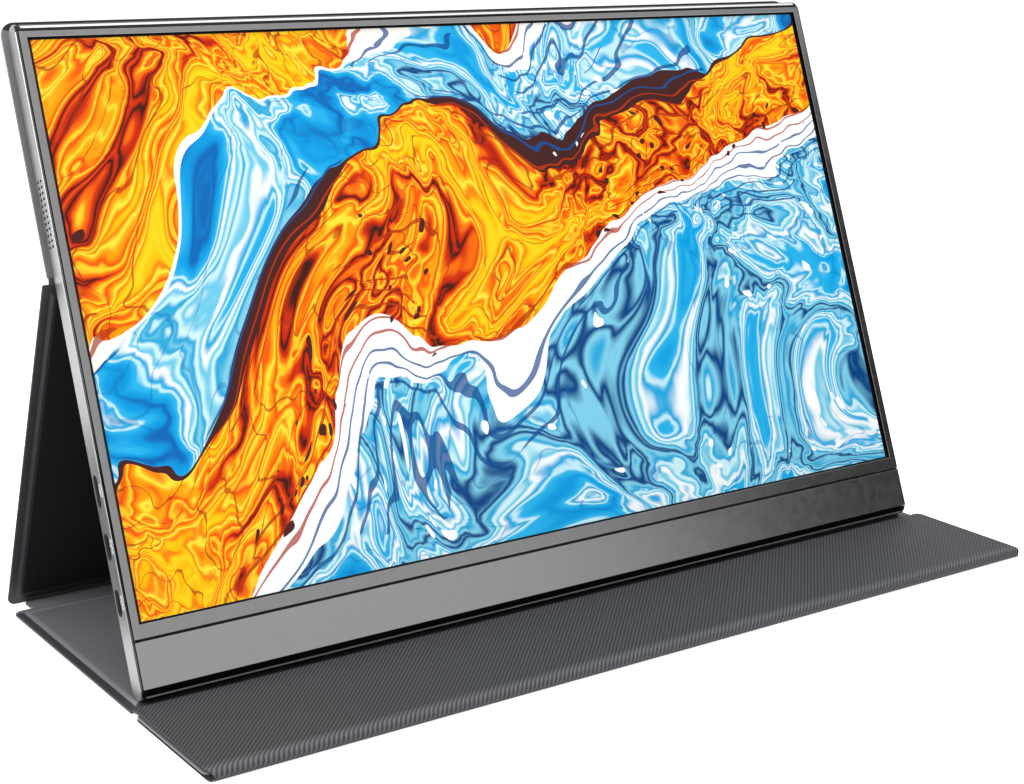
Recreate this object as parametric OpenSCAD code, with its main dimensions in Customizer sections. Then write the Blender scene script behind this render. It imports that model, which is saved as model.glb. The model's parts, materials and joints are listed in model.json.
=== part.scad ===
// Portable monitor held up by a folding magnetic cover.
// Millimetres, +Z up, the screen faces -Y. The origin lies on the table under the
// middle of the open cover.

/* [Screen] */
// Width of the lit area
screen_w = 344.2; // [300:0.1:380]
// Height of the lit area
screen_h = 193.6; // [170:0.1:215]
// Dark margin between the lit area and the bezel's window
window_gap = 0.5; // [0.3:0.1:0.8]
// Corner radius of the bezel's window
window_r = 1.6; // [1:0.1:3]
// Width of the chamfer round the window
window_bevel = 0.35; // [0.2:0.05:0.6]
// Thickness of the liquid-crystal glass
glass_t = 1.2; // [1:0.1:1.4]
// Thickness of the diffuser and prism films
films_t = 0.4; // [0.3:0.1:0.6]
// Thickness of the light guide
guide_t = 1.2; // [1:0.1:1.4]
// Thickness of the reflector sheet
reflector_t = 0.2; // [0.1:0.05:0.3]
// Thickness of the panel's metal tray
tray_t = 0.3; // [0.2:0.05:0.4]
// How far the panel reaches past the lit area at the top and sides
panel_rim = 1.6; // [1.4:0.1:1.8]
// How far the panel reaches below the lit area
panel_foot = 8.5; // [7:0.1:10]

/* [Monitor case] */
// Thickness of the case, whose top and bottom edges are half rounds
case_t = 8.8; // [8.8:0.1:11]
// From the lit area to the case's left or right end
side_border = 3.9; // [3.8:0.1:8]
// From the lit area down to the case's lowest line
chin_h = 24.9; // [23:0.1:40]
// From the lit area up to the case's highest line
top_border = 6.1; // [6:0.1:12]
// Wall of the back shell
shell_wall = 1; // [0.8:0.1:1.1]
// Thickness of the front bezel and chin strip
bezel_t = 1; // [0.8:0.1:1.2]
// How far the bezel and the chin strip run on over the case's half rounds
face_over = 1.4; // [0:0.1:1.6]
// Thickness of the black tape frame behind the bezel
tape_t = 0.2; // [0.1:0.05:0.3]
// From the lit area down to the groove between bezel and chin strip
groove_drop = 5.8; // [5:0.1:8]
// Width of that groove
groove_w = 0.8; // [0.5:0.1:1.2]
// Chamfer along the outer edges of the bezel and the chin strip
front_bevel = 0.3; // [0.1:0.05:0.5]
// Chamfer along both sides of the groove
groove_bevel = 0.15; // [0.05:0.05:0.3]
// Width of the black seam between the bezel and each end plate
seam_w = 0.7; // [0.4:0.05:1]
// Thickness of each end plate
plate_t = 0.9; // [0.8:0.1:1.4]
// Chamfer round each end plate
plate_bevel = 0.3; // [0.2:0.05:0.5]
// Thickness of the black gasket behind each end plate
gasket_t = 0.9; // [0.4:0.1:1]

/* [Ports and controls] */
// Height of the lower USB-C port's centre above the case's lowest line
port_z = 32.1; // [30:0.1:40]
// Distance between neighbouring port centres
port_pitch = 18.4; // [15:0.1:22]
// Width of a USB-C socket's shell
usb_w = 8.9; // [8.9:0.05:9.2]
// Height of a USB-C socket's shell
usb_h = 3.2; // [3:0.05:3.2]
// Width of the mini HDMI socket's shell
hdmi_w = 10.8; // [10.4:0.1:11.2]
// Height of the mini HDMI socket's shell
hdmi_h = 3; // [2.8:0.05:3.2]
// How deep the sockets reach into the case
socket_d = 7.5; // [6.5:0.1:9]
// Height of the speaker grille's middle above the case's lowest line
grille_z = 161; // [130:1:175]
// Rows of slots in a speaker grille
grille_rows = 12; // [6:1:14]
// Distance between slot rows
grille_pitch = 2; // [1.8:0.1:2.4]
// Distance between the two slot columns
grille_gap = 2.4; // [2.2:0.1:2.8]
// How far the slots' middle lies in front of the ports' middle
grille_lead = 0.9; // [0.4:0.1:1.2]
// Length of one slot
slot_l = 1.5; // [1.2:0.1:1.8]
// Width of one slot
slot_w = 0.9; // [0.7:0.1:1.1]
// Height of the power button's centre above the case's lowest line
button_z = 74; // [68:1:84]
// Length of the power button
button_l = 10; // [8:0.5:12]
// Width of the power button and the menu rocker
button_w = 2.6; // [2.2:0.1:2.8]
// How far the controls stand out of the end plate
button_out = 0.6; // [0.4:0.1:0.8]
// Travel of the power button
button_travel = 0.4; // [0.2:0.05:0.5]
// Height of the menu rocker's centre above the case's lowest line
rocker_z = 50; // [44:1:54]
// Length of the menu rocker
rocker_l = 12; // [10:0.5:14]
// Height of the headphone socket's centre above the case's lowest line
jack_z = 10.5; // [9:0.5:12]
// Bore of the headphone socket
jack_d = 3.6; // [3.5:0.05:3.7]
// Outer width of the headphone socket
jack_w = 5.4; // [5:0.1:5.8]
// Length of the headphone socket
jack_l = 13; // [12:0.5:15]

/* [Inside the case] */
// Thickness of the circuit boards
board_t = 1; // [0.8:0.1:1.2]
// Clearance from the main board to the case's left end
board_gap = 0.4; // [0.2:0.1:1]
// Width of the main board
main_w = 66; // [50:1:80]
// Height of the main board
main_h = 70; // [60:1:80]
// How far the main board laps over the source board
board_lap = 4.3; // [3:0.1:5]
// Width of the scaler chip
scaler_w = 14; // [10:1:18]
// Width of the memory chip
memory_w = 9; // [7:1:10]
// Height of the memory chip
memory_h = 12; // [10:1:13]
// Width of the power coil
coil_w = 7; // [5:0.5:8]
// Width of the key board
key_w = 16; // [12:1:24]
// Clearance from the key board to the case's right end
key_gap = 3.4; // [3.2:0.1:3.6]
// Width of the panel's source board
source_w = 236; // [180:1:260]
// Height of the panel's source board
source_h = 9; // [7:0.5:11]
// Thickness of the panel's source board
source_t = 0.8; // [0.6:0.05:0.9]
// How far the source board sits above the panel's lower edge
source_lift = 1; // [0.5:0.1:2]
// Width of a driver chip on the source board
driver_w = 12; // [8:1:16]
// Width of the ribbon between the two boards
ribbon_w = 18; // [12:1:24]
// Height of a speaker box
speaker_h = 29; // [27:1:36]
// Width of a speaker box
speaker_w = 22; // [16:1:30]
// Diameter of the board screws' heads
screw_d = 3.4; // [3:0.1:4]
// Diameter of the board screws' shanks
screw_shank = 2; // [1.6:0.1:2.4]
// From a board's edges in to its corner screws
screw_in = 4; // [3:0.1:4.5]
// Diameter of the magnets in the back panel and of the case's steel discs
magnet_d = 12; // [8:0.5:16]
// Thickness of the case's steel discs
disc_t = 1; // [0.6:0.1:1.2]
// Number of magnets in one row
magnet_n = 4; // [2:1:6]
// From the lit area's sides in to the outer magnets
magnet_side = 35; // [25:1:60]
// From the back crease up to the lower row of discs
disc_rise = 18; // [14:1:30]
// From the case's highest line down to the upper row of discs
disc_drop = 24; // [16:1:36]
// Diameter of the magnets in the folded leaf
leaf_magnet_d = 10; // [6:0.5:12]
// Width of the two foam strips behind the panel
foam_w = 6; // [4:1:10]
// From the middle out to each foam strip
foam_x = 41.3; // [30:0.1:60]

/* [Stand] */
// Lean of the screen from upright, in degrees
tilt = 21.5; // [18:0.1:24]
// Height of the back crease up the case, from its lowest line
crease_z = 139.6; // [120:0.1:150]
// How much shorter the leg is than the back crease is high up the case
leg_short = 1.5; // [0.5:0.1:4]
// Distance between the spine's two creases
spine_d = 7.5; // [7:0.1:10]
// Height of the foot crease above the table
foot_z = 1.3; // [1.2:0.05:1.6]
// From the case's lowest line forward to the front crease
crease_lead = 6.5; // [6:0.1:9]
// Clearance under the case and behind it
rest_gap = 0.2; // [0.1:0.05:0.3]

/* [Cover] */
// How far the base panel and the front leaves reach past each end of the case
base_over = 4.7; // [2:0.1:8]
// How far the leg panel reaches past each end of the case
leg_over = 3.5; // [1:0.1:6]
// How far the magnetic back panel reaches past each end of the case
back_over = 1.8; // [0.5:0.1:5]
// How far the back panel's top rises above the case's highest line
back_rise = 2.7; // [0:0.1:4]
// How far the spine stops short of the base's ends
spine_inset = 7.7; // [6:0.1:12]
// Thickness of the base panel
base_t = 1.7; // [1.6:0.05:2]
// Thickness of the leg and back panels
panel_t = 2.2; // [2:0.05:2.6]
// Thickness of the pressed border round the panels
border_t = 0.9; // [0.8:0.05:1]
// Width of that border
border_w = 4; // [3:0.1:6]
// Width of the slope from the border up to the panel
slope_w = 1.2; // [0.8:0.1:2]
// Thickness of the board inside the base
base_board_t = 0.8; // [0.6:0.05:0.9]
// Thickness of the boards inside the leg and back panels
panel_board_t = 1.2; // [1:0.05:1.4]
// Radius of the base's and the leg panel's free corners
panel_r = 3.2; // [2:0.1:8]
// Radius of the back panel's top corners
back_r = 5; // [2:0.1:8]
// Radius of the panels' corners beside a crease
crease_r = 1; // [0.5:0.1:3]
// Radius of the corners at the front fold
fold_corner_r = 3; // [2:0.1:5]
// Depth of the front leaf from the front crease to its folded edge
leaf_d = 54.3; // [50:0.1:60]
// Gap from the edge of the leaf folded under it to the base panel
under_gap = 2.2; // [2:0.1:12]
// Thickness of one leaf
leaf_t = 1.35; // [1.2:0.05:1.4]
// Thickness of the board inside a leaf
leaf_board_t = 0.5; // [0.4:0.05:0.6]
// Gap between the two leaves
leaf_gap = 0.2; // [0.1:0.05:0.3]
// Radius of the round bead along each crease
bead_r = 0.75; // [0.6:0.05:0.8]
// Clearance from a bead to the panel that turns round it
bead_gap = 0.35; // [0.3:0.05:0.4]

/* [Hidden] */
$fn = 48;
eps = 0.01;

case_w = screen_w + 2 * side_border;
case_h = chin_h + screen_h + top_border;
case_r = case_t / 2;
shell_w = case_w - 2 * (plate_t + gasket_t);
front_step = 0.1;
front_w = case_w - 2 * front_step;
seam_y = bezel_t + seam_w;
front_lo = case_r - face_over + front_step;
front_hi = case_h - case_r + face_over - front_step;
groove_z = chin_h - groove_drop;
edge_fit = 0.05;

// Depths of the display stack behind the front face
glass_y = bezel_t + tape_t;
films_y = glass_y + glass_t;
guide_y = films_y + films_t;
reflector_y = guide_y + guide_t;
tray_y = reflector_y + reflector_t;
bay_y = tray_y + tray_t;
back_y = case_t - shell_wall;
port_y = (bay_y + back_y) / 2;
panel_lo = chin_h - panel_foot;
panel_hi = chin_h + screen_h + panel_rim;
panel_half = screen_w / 2 + panel_rim;
led_h = 3;

hdmi_z = port_z + 2 * port_pitch;
port_wall = 0.3;
socket_wall = 1;
tongue_in = 1;
tongue_t = 0.7;
jack_floor = 1;
jack_y = back_y - jack_w / 2 - 2 * edge_fit;
end_x = case_w / 2;
inner_x = shell_w / 2;
pin_fit = 0.15;
rocker_fit = 0.4;
pivot_r = 0.7;
pivot_in = 2.2;
rocker_in = 0.6;
pivot_x = inner_x - pivot_in;
hole_fit = 0.05;
button_in = 1.3;

// Case axis: centre of the lower half round, as it rests above the base
axis_z = base_t + rest_gap + case_r;
back_mid = case_t + rest_gap + panel_t / 2 - case_r;
crease_y = back_mid * cos(tilt) + (crease_z - case_r) * sin(tilt);
crease_h = axis_z - back_mid * sin(tilt) + (crease_z - case_r) * cos(tilt);
leg_l = crease_z - leg_short;
leg_a = acos((crease_h - foot_z) / leg_l);
foot_y = crease_y + leg_l * sin(leg_a);
rear_y = foot_y - spine_d;
front_y = -crease_lead;
fold_r = leaf_t + leaf_gap / 2;
fold_y = front_y - leaf_d + fold_r;
toe = 0.6;
keep = bead_r + bead_gap;
base_mid = base_t / 2;
front_axis_z = leaf_t + leaf_gap;
leg_back = foot_y + toe * sin(leg_a) + border_t / 2 * cos(leg_a);
shift_y = -(leg_back + front_y - leaf_d) / 2;
base_w = case_w + 2 * base_over;
leg_w = case_w + 2 * leg_over;
back_w = case_w + 2 * back_over;
spine_w = base_w - 2 * spine_inset;
crease_in = 1;

// ---- Frames ----

// Case frame: X across, Y depth from the front face, Z up from the lowest line
module on_stand() {
    translate([0, shift_y, axis_z]) rotate([-tilt, 0, 0])
        translate([0, -case_r, -case_r]) children();
}

// Back panel frame: Y up from the back crease, Z towards the case
module on_back() {
    translate([0, shift_y + crease_y, crease_h]) rotate([90 - tilt, 0, 0]) children();
}

// Leg frame: Y up from the foot crease, Z towards the screen's side
module on_leg() {
    translate([0, shift_y + foot_y, foot_z]) rotate([90 + leg_a, 0, 0]) children();
}

module on_table() {
    translate([0, shift_y, 0]) children();
}

// ---- Shared shapes ----

// Prism along X from a profile drawn in Y and Z
module along_x(length) {
    rotate([90, 0, 90]) linear_extrude(length, center = true) children();
}

// Rectangle with rounded corners, centred
module round_rect(w, h, r) {
    square([w - 2 * r, h], center = true);
    square([w, h - 2 * r], center = true);
    for (x = [-1, 1], y = [-1, 1])
        translate([x * (w / 2 - r), y * (h / 2 - r)]) circle(r);
}

// Centred rectangle with one corner radius at its low edge and one at its high edge
module panel_outline(w, h, low_r, high_r) {
    translate([-w / 2, low_r - h / 2]) square([w, h - low_r - high_r]);
    for (end = [[low_r, -1], [high_r, 1]]) {
        translate([0, end[1] * h / 6]) square([w - 2 * end[0], 2 * h / 3], center = true);
        for (x = [-1, 1])
            translate([x * (w / 2 - end[0]), end[1] * (h / 2 - end[0])]) circle(end[0]);
    }
}

// Slot with round ends, long side upright
module oblong(l, w) {
    square([w, l - w], center = true);
    for (y = [-1, 1])
        translate([0, y * (l - w) / 2]) circle(w / 2);
}

// Oblong bar along X, at a depth and height in the case frame
module bar_x(x0, x1, y, z, l, w) {
    translate([(x0 + x1) / 2, y, z]) along_x(abs(x1 - x0)) oblong(l, w);
}

// Block with four sloping sides, standing on Z = 0
module frustum(w, d, h, run) {
    intersection() {
        rotate([90, 0, 0]) linear_extrude(d, center = true)
            polygon([[-w / 2, 0], [w / 2, 0], [w / 2 - run, h], [run - w / 2, h]]);
        rotate([90, 0, 90]) linear_extrude(w, center = true)
            polygon([[-d / 2, 0], [d / 2, 0], [d / 2 - run, h], [run - d / 2, h]]);
    }
}

// Case outline in Y and Z, drawn inset by a wall
module case_outline(inset) {
    translate([inset, case_r]) square([case_t - 2 * inset, case_h - 2 * case_r]);
    for (z = [case_r, case_h - case_r])
        translate([case_r, z]) circle(case_r - inset);
}

// Box in the case frame, centred in X about a given place
module case_box(x, w, y0, y1, z0, z1) {
    translate([x - w / 2, y0, z0]) cube([w, y1 - y0, z1 - z0]);
}

// ---- Monitor case ----

// Strip of the front face between two heights, with both long edges chamfered
module front_strip(z0, z1, bevel0, bevel1) {
    along_x(front_w)
        polygon([[bevel0, z0], [bezel_t, z0], [bezel_t, z1], [bevel1, z1], [0, z1 - bevel1],
            [0, z0 + bevel0]]);
}

module front_bezel() {
    w = screen_w + 2 * window_gap;
    h = screen_h + 2 * window_gap;
    mid = chin_h + screen_h / 2;
    color("dimgray") on_stand() difference() {
        front_strip(groove_z + groove_w / 2, front_hi - edge_fit, groove_bevel, front_bevel);
        translate([0, bezel_t + eps, mid]) rotate([90, 0, 0])
            linear_extrude(bezel_t + 2 * eps) round_rect(w, h, window_r);
        translate([0, -eps, mid]) rotate([-90, 0, 0])
            frustum(w + 2 * window_bevel, h + 2 * window_bevel, 2 * window_bevel,
                2 * window_bevel);
    }
}

module chin_strip() {
    hook_w = 8;
    hook_d = 1.2;
    hook_h = 1.2;
    hook_z = 2;
    hook_end = 24;
    hooks = 7;
    color("gray") on_stand() {
        front_strip(front_lo + edge_fit, groove_z - groove_w / 2, front_bevel, groove_bevel);
        for (i = [0 : hooks - 1])
            case_box((i / (hooks - 1) - 0.5) * (shell_w - 2 * hook_end), hook_w, bezel_t - eps,
                bezel_t + hook_d, front_lo + hook_z, front_lo + hook_z + hook_h);
    }
}

module back_shell() {
    color("darkgray") on_stand() along_x(shell_w) difference() {
        case_outline(0);
        case_outline(shell_wall);
        translate([-eps, front_lo]) square([shell_wall + case_r, front_hi - front_lo]);
    }
}

// Room for the bezel and chin strip, from the case's front face back to a depth
module front_room(y1) {
    case_box(0, case_w + 2 * eps, -eps, y1, front_lo - edge_fit, front_hi + edge_fit);
}

// Plate with a chamfered edge; between its round ends it starts behind the bezel's seam
module end_plate_blank() {
    back_x = end_x - plate_t;
    bevel_x = end_x - plate_bevel;
    flat_r = case_r - plate_bevel;
    lip_y = seam_y + 1.5 * plate_bevel;
    lip_lap = 0.3;
    difference() {
        for (z = [case_r, case_h - case_r])
            translate([0, case_r, z]) rotate([0, 90, 0]) {
                translate([0, 0, back_x]) cylinder(r = case_r, h = plate_t - plate_bevel);
                translate([0, 0, bevel_x]) cylinder(r1 = case_r, r2 = flat_r, h = plate_bevel);
            }
        front_room(lip_y);
    }
    translate([0, 0, case_r]) linear_extrude(case_h - 2 * case_r)
        polygon([[back_x, lip_y], [end_x, lip_y], [end_x, case_t - plate_bevel],
            [bevel_x, case_t], [back_x, case_t]]);
    translate([0, 0, front_lo - edge_fit]) linear_extrude(front_hi - front_lo + 2 * edge_fit)
        polygon([[back_x, seam_y], [bevel_x, seam_y], [end_x, seam_y + plate_bevel],
            [end_x, lip_y + lip_lap], [back_x, lip_y + lip_lap]]);
}

module grille_slots() {
    for (i = [0 : grille_rows - 1], c = [-1, 1])
        translate([0, port_y - grille_lead + c * grille_gap / 2,
            grille_z + (i - (grille_rows - 1) / 2) * grille_pitch])
            rotate([90, 0, 0]) rotate([0, 90, 0])
                translate([0, 0, inner_x - eps]) linear_extrude(plate_t + gasket_t + 1)
                    rotate(90) oblong(slot_l, slot_w);
}

// Holes of the three ports, cut from the left plate and gasket
module port_holes(gap) {
    bar_x(-end_x - 1, -inner_x + eps, port_y, hdmi_z, hdmi_w + 2 * gap, hdmi_h + 2 * gap);
    for (i = [0, 1])
        bar_x(-end_x - 1, -inner_x + eps, port_y, port_z + i * port_pitch,
            usb_w + 2 * gap, usb_h + 2 * gap);
}

// Holes of the right end: button, rocker and headphone socket
module control_holes() {
    bar_x(inner_x - eps, end_x + 1, port_y, button_z, button_l + 2 * pin_fit,
        button_w + 2 * pin_fit);
    bar_x(inner_x - eps, end_x + 1, port_y, rocker_z, rocker_l + 2 * rocker_fit,
        button_w + 2 * pin_fit);
    translate([inner_x - eps, jack_y, jack_z]) rotate([0, 90, 0])
        cylinder(d = jack_w, h = plate_t + gasket_t + 1);
}

module left_end_plate() {
    color("silver") on_stand() difference() {
        mirror([1, 0, 0]) end_plate_blank();
        port_holes(edge_fit);
        mirror([1, 0, 0]) grille_slots();
    }
}

module right_end_plate() {
    color("silver") on_stand() difference() {
        end_plate_blank();
        control_holes();
        grille_slots();
    }
}

module end_gaskets() {
    recess = 0.15;
    color("black") on_stand() difference() {
        for (s = [-1, 1])
            translate([s * (inner_x + gasket_t / 2), 0, 0]) along_x(gasket_t)
                case_outline(recess);
        front_room(bezel_t + edge_fit);
        port_holes(edge_fit);
        control_holes();
        grille_slots();
        mirror([1, 0, 0]) grille_slots();
    }
}

// ---- Display stack ----

module bezel_tape() {
    w = screen_w + 2 * window_gap;
    h = screen_h + 2 * window_gap;
    inset = 0.2;
    color("black") on_stand() difference() {
        case_box(0, 2 * panel_half, bezel_t, glass_y, groove_z - groove_w, panel_hi - inset);
        case_box(0, w, bezel_t - eps, glass_y + eps, chin_h - window_gap, chin_h + h - window_gap);
    }
}

// One sheet of the display stack
module stack_sheet(y, t, margin) {
    case_box(0, 2 * (panel_half - margin), y, y + t, panel_lo + margin + led_h,
        panel_hi - margin);
}

module lcd_glass() {
    color("darkslateblue") on_stand()
        case_box(0, 2 * panel_half, glass_y, films_y, panel_lo, panel_hi);
}

module optical_films() {
    color("whitesmoke") on_stand() stack_sheet(films_y, films_t, tray_t);
}

module light_guide() {
    color("aliceblue") on_stand() stack_sheet(guide_y, guide_t, tray_t);
}

module reflector_sheet() {
    color("white") on_stand() stack_sheet(reflector_y, reflector_t, tray_t);
}

module panel_tray() {
    color("lightsteelblue") on_stand() difference() {
        case_box(0, 2 * panel_half, films_y, bay_y, panel_lo, panel_hi);
        case_box(0, 2 * (panel_half - tray_t), films_y - eps, tray_y, panel_lo + tray_t,
            panel_hi - tray_t);
    }
}

module led_strip() {
    leds = 36;
    led_w = 3.2;
    led_end = 4;
    bar_h = 0.6;
    bar_end = 0.5;
    gap = 0.1;
    z0 = panel_lo + tray_t;
    color("gold") on_stand() {
        case_box(0, 2 * (panel_half - tray_t - bar_end), guide_y, reflector_y, z0, z0 + bar_h);
        for (i = [0 : leds - 1])
            case_box((i - (leds - 1) / 2) * (screen_w - 2 * led_end) / leds, led_w,
                guide_y + 2 * gap, reflector_y - 2 * gap, z0 + bar_h - eps, z0 + led_h - gap);
    }
}

source_z0 = panel_lo + source_lift;

module source_board() {
    drivers = 4;
    driver_t = 0.8;
    driver_in = 2;
    color("darkgreen") on_stand() {
        case_box(0, source_w, bay_y, bay_y + source_t, source_z0, source_z0 + source_h);
        for (i = [0 : drivers - 1])
            case_box((i - (drivers - 1) / 2) * source_w / drivers, driver_w,
                bay_y + source_t - eps, bay_y + source_t + driver_t, source_z0 + driver_in,
                source_z0 + source_h - driver_in);
    }
}

// ---- Electronics behind the panel ----

main_x = -inner_x + board_gap + main_w / 2;
main_z0 = source_z0 + source_h - board_lap;
main_z1 = main_z0 + main_h;
key_x = inner_x - key_gap - key_w / 2;
side_screw = 10;
main_screws = [[main_x + main_w / 2 - screw_in, main_z1 - screw_in],
    [main_x + screw_in, main_z0 + screw_in],
    [main_x - main_w / 2 + screw_in + side_screw, main_z1 - screw_in]];
key_screws = [[key_x - key_w / 2 + screw_in, (button_z + rocker_z) / 2]];

// Chip on the main board's inner face, centred about a place
module chip(x, z, w, h, t) {
    case_box(x, w, back_y - board_t - t, back_y - board_t + eps, z - h / 2, z + h / 2);
}

// Gap in the main board round one socket
module socket_gap(z, w) {
    fit = 0.1;
    case_box(-inner_x + socket_d / 2, socket_d + 2 * fit, back_y - 2 * board_t, back_y + board_t,
        z - w / 2 - fit, z + w / 2 + fit);
}

module screw_holes(places) {
    for (p = places)
        translate([p[0], back_y - 2 * board_t, p[1]]) rotate([-90, 0, 0])
            cylinder(d = screw_shank + 2 * hole_fit, h = 3 * board_t);
}

module main_board() {
    scaler_x = main_x + 4;
    chip_z = main_z0 + main_h / 2;
    chip_gap = 6.5;
    coil_drop = 7;
    color("green") on_stand() {
        difference() {
            case_box(main_x, main_w, back_y - board_t, back_y, main_z0, main_z1);
            socket_gap(hdmi_z, hdmi_w);
            for (i = [0, 1]) socket_gap(port_z + i * port_pitch, usb_w);
            screw_holes(main_screws);
        }
        chip(scaler_x, chip_z, scaler_w, scaler_w, 1.1);
        chip(scaler_x + (scaler_w + memory_w) / 2 + chip_gap, chip_z + (scaler_w - memory_h) / 2,
            memory_w, memory_h, 0.9);
        chip(scaler_x - chip_gap + 0.5, main_z1 - coil_drop - coil_w / 2, coil_w, coil_w, 1.6);
    }
}

module board_screws() {
    head_h = 0.9;
    color("lightgray") on_stand()
        for (p = concat(main_screws, key_screws))
            translate([p[0], back_y - board_t - head_h, p[1]]) rotate([-90, 0, 0]) {
                cylinder(d = screw_d, h = head_h);
                cylinder(d = screw_shank, h = head_h + board_t);
            }
}

module board_ribbon() {
    side = 3;
    inset = 0.5;
    color("orange") on_stand()
        case_box(main_x + (main_w - ribbon_w) / 2 - side, ribbon_w, bay_y + source_t,
            back_y - board_t, main_z0 + inset, main_z0 + board_lap - 2 * inset);
}

// Metal socket: an oblong tube closed at its inner end, with a tongue
module socket(z, w, h, tongue_w) {
    difference() {
        bar_x(-end_x + plate_t, -inner_x + socket_d, port_y, z, w, h);
        bar_x(-end_x, -inner_x + socket_d - socket_wall, port_y, z, w - 2 * port_wall,
            h - 2 * port_wall);
    }
    case_box(-inner_x + (socket_d + tongue_in) / 2, socket_d - tongue_in + eps,
        port_y - tongue_t / 2, port_y + tongue_t / 2, z - tongue_w / 2, z + tongue_w / 2);
}

module hdmi_socket() {
    color("gainsboro") on_stand() socket(hdmi_z, hdmi_w, hdmi_h, hdmi_w - 3);
}

module usb_c_sockets() {
    color("gainsboro") on_stand()
        for (i = [0, 1]) socket(port_z + i * port_pitch, usb_w, usb_h, usb_w - 2.4);
}

module headphone_socket() {
    color("black") on_stand() translate([inner_x - jack_l, jack_y, jack_z])
        rotate([0, 90, 0]) difference() {
            union() {
                translate([-jack_w / 2, -jack_w / 2, 0]) cube([jack_w, jack_w, jack_l]);
                cylinder(d = jack_w - 2 * edge_fit, h = jack_l + gasket_t + plate_t - plate_bevel);
            }
            translate([0, 0, jack_floor]) cylinder(d = jack_d, h = jack_l + gasket_t + plate_t);
        }
}

// Tact switch on the key board, its plunger facing the end plate
module key_switch(x1, z, h) {
    switch_w = 4;
    switch_t = 1.5;
    case_box(x1 - switch_w / 2, switch_w, back_y - board_t - switch_t, back_y - board_t + eps,
        z - h / 2, z + h / 2);
}

module key_board() {
    button_key = 5;
    rocker_key = 3;
    ear_t = 0.6;
    ear_w = 4;
    ear_x0 = inner_x - key_gap - ear_w / 2;
    ear_x1 = pivot_x + 1.2;
    color("green") on_stand() {
        difference() {
            case_box(key_x, key_w, back_y - board_t, back_y, rocker_z - rocker_l,
                button_z + button_l);
            screw_holes(key_screws);
        }
        key_switch(inner_x - button_in - button_travel - pin_fit, button_z, button_key);
        for (s = [-1, 1])
            key_switch(inner_x - 2 * rocker_in, rocker_z + s * (rocker_l - rocker_key) / 2,
                rocker_key);
        // ear that carries the rocker's pin
        difference() {
            case_box((ear_x0 + ear_x1) / 2, ear_x1 - ear_x0, back_y - ear_t, back_y,
                rocker_z - ear_w / 2, rocker_z + ear_w / 2);
            translate([pivot_x, back_y - 2 * ear_t, rocker_z]) rotate([-90, 0, 0])
                cylinder(r = pivot_r + hole_fit, h = 3 * ear_t);
        }
    }
}

module speakers() {
    gap = 0.2;
    mouth_h = 2;
    mouth_d = 4;
    wall = 2;
    color("dimgray") on_stand()
        for (s = [-1, 1]) difference() {
            case_box(s * (inner_x - gap / 2 - speaker_w / 2), speaker_w, bay_y + gap, back_y,
                grille_z - speaker_h / 2, grille_z + speaker_h / 2);
            case_box(s * inner_x, 2 * mouth_d, port_y - mouth_h / 2, port_y + mouth_h / 2,
                grille_z - speaker_h / 2 + wall, grille_z + speaker_h / 2 - wall);
        }
}

function magnet_x(i) = (i / (magnet_n - 1) - 0.5) * (screen_w - 2 * magnet_side);
disc_z = [crease_z + disc_rise, case_h - disc_drop];

module steel_discs() {
    color("slategray") on_stand()
        for (i = [0 : magnet_n - 1], z = disc_z)
            translate([magnet_x(i), back_y - disc_t, z]) rotate([-90, 0, 0])
                cylinder(d = magnet_d, h = disc_t);
}

module foam_strips() {
    gap = 1;
    color("darkslategray") on_stand()
        for (s = [-1, 1])
            case_box(s * foam_x, foam_w, bay_y, back_y, source_z0 + source_h + gap,
                disc_z[0] - magnet_d / 2 - gap);
}

// ---- Controls ----

module power_button() {
    color("dimgray") on_stand()
        bar_x(inner_x - button_in, end_x + button_out, port_y, button_z, button_l, button_w);
}

// Rocker with a hub and a pin that turns in the key board's ear
module menu_rocker() {
    hub_wall = 0.5;
    hub_h = button_w - 2 * 0.3;
    color("dimgray") on_stand() {
        bar_x(inner_x - rocker_in, end_x + button_out, port_y, rocker_z, rocker_l, button_w);
        bar_x(pivot_x, inner_x, port_y, rocker_z, hub_h + 2 * hub_wall, hub_h);
        translate([pivot_x, port_y - hub_h / 2, rocker_z]) rotate([-90, 0, 0])
            cylinder(r = pivot_r + hub_wall, h = hub_h);
        translate([pivot_x, port_y, rocker_z]) rotate([-90, 0, 0])
            cylinder(r = pivot_r, h = back_y - port_y - pin_fit);
    }
}

// ---- Cover panels ----

// Half of a padded panel: pressed border, sloping pad and a pocket for the board
module half_panel(w, d, low_r, high_r, t, board) {
    difference() {
        union() {
            linear_extrude(border_t / 2) panel_outline(w, d, low_r, high_r);
            frustum(w - 2 * border_w, d - 2 * border_w, t / 2, slope_w);
        }
        translate([0, 0, -eps]) linear_extrude(board / 2 + eps)
            round_rect(w - 2 * (border_w + slope_w), d - 2 * (border_w + slope_w), panel_r / 2);
    }
}

module panel_board(w, d, board) {
    linear_extrude(board, center = true)
        round_rect(w - 2 * (border_w + slope_w), d - 2 * (border_w + slope_w), panel_r / 2);
}

back_top = case_h + back_rise - crease_z;
back_d = back_top - keep;
back_c = keep + back_d / 2;

module magnet_pockets(gap) {
    for (i = [0 : magnet_n - 1], z = disc_z)
        translate([magnet_x(i), z - crease_z, 0])
            cylinder(d = magnet_d + 2 * gap, h = panel_board_t + 2 * gap, center = true);
}

module back_skin() {
    color("darkslategray") on_back() translate([0, back_c, 0]) mirror([0, 0, 1])
        half_panel(back_w, back_d, crease_r, back_r, panel_t, panel_board_t);
}

module back_lining() {
    color("slategray") on_back() translate([0, back_c, 0])
        half_panel(back_w, back_d, crease_r, back_r, panel_t, panel_board_t);
}

module back_board() {
    color("burlywood") on_back() difference() {
        translate([0, back_c, 0]) panel_board(back_w, back_d, panel_board_t);
        magnet_pockets(edge_fit);
    }
}

module back_magnets() {
    color("silver") on_back() magnet_pockets(0);
}

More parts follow.
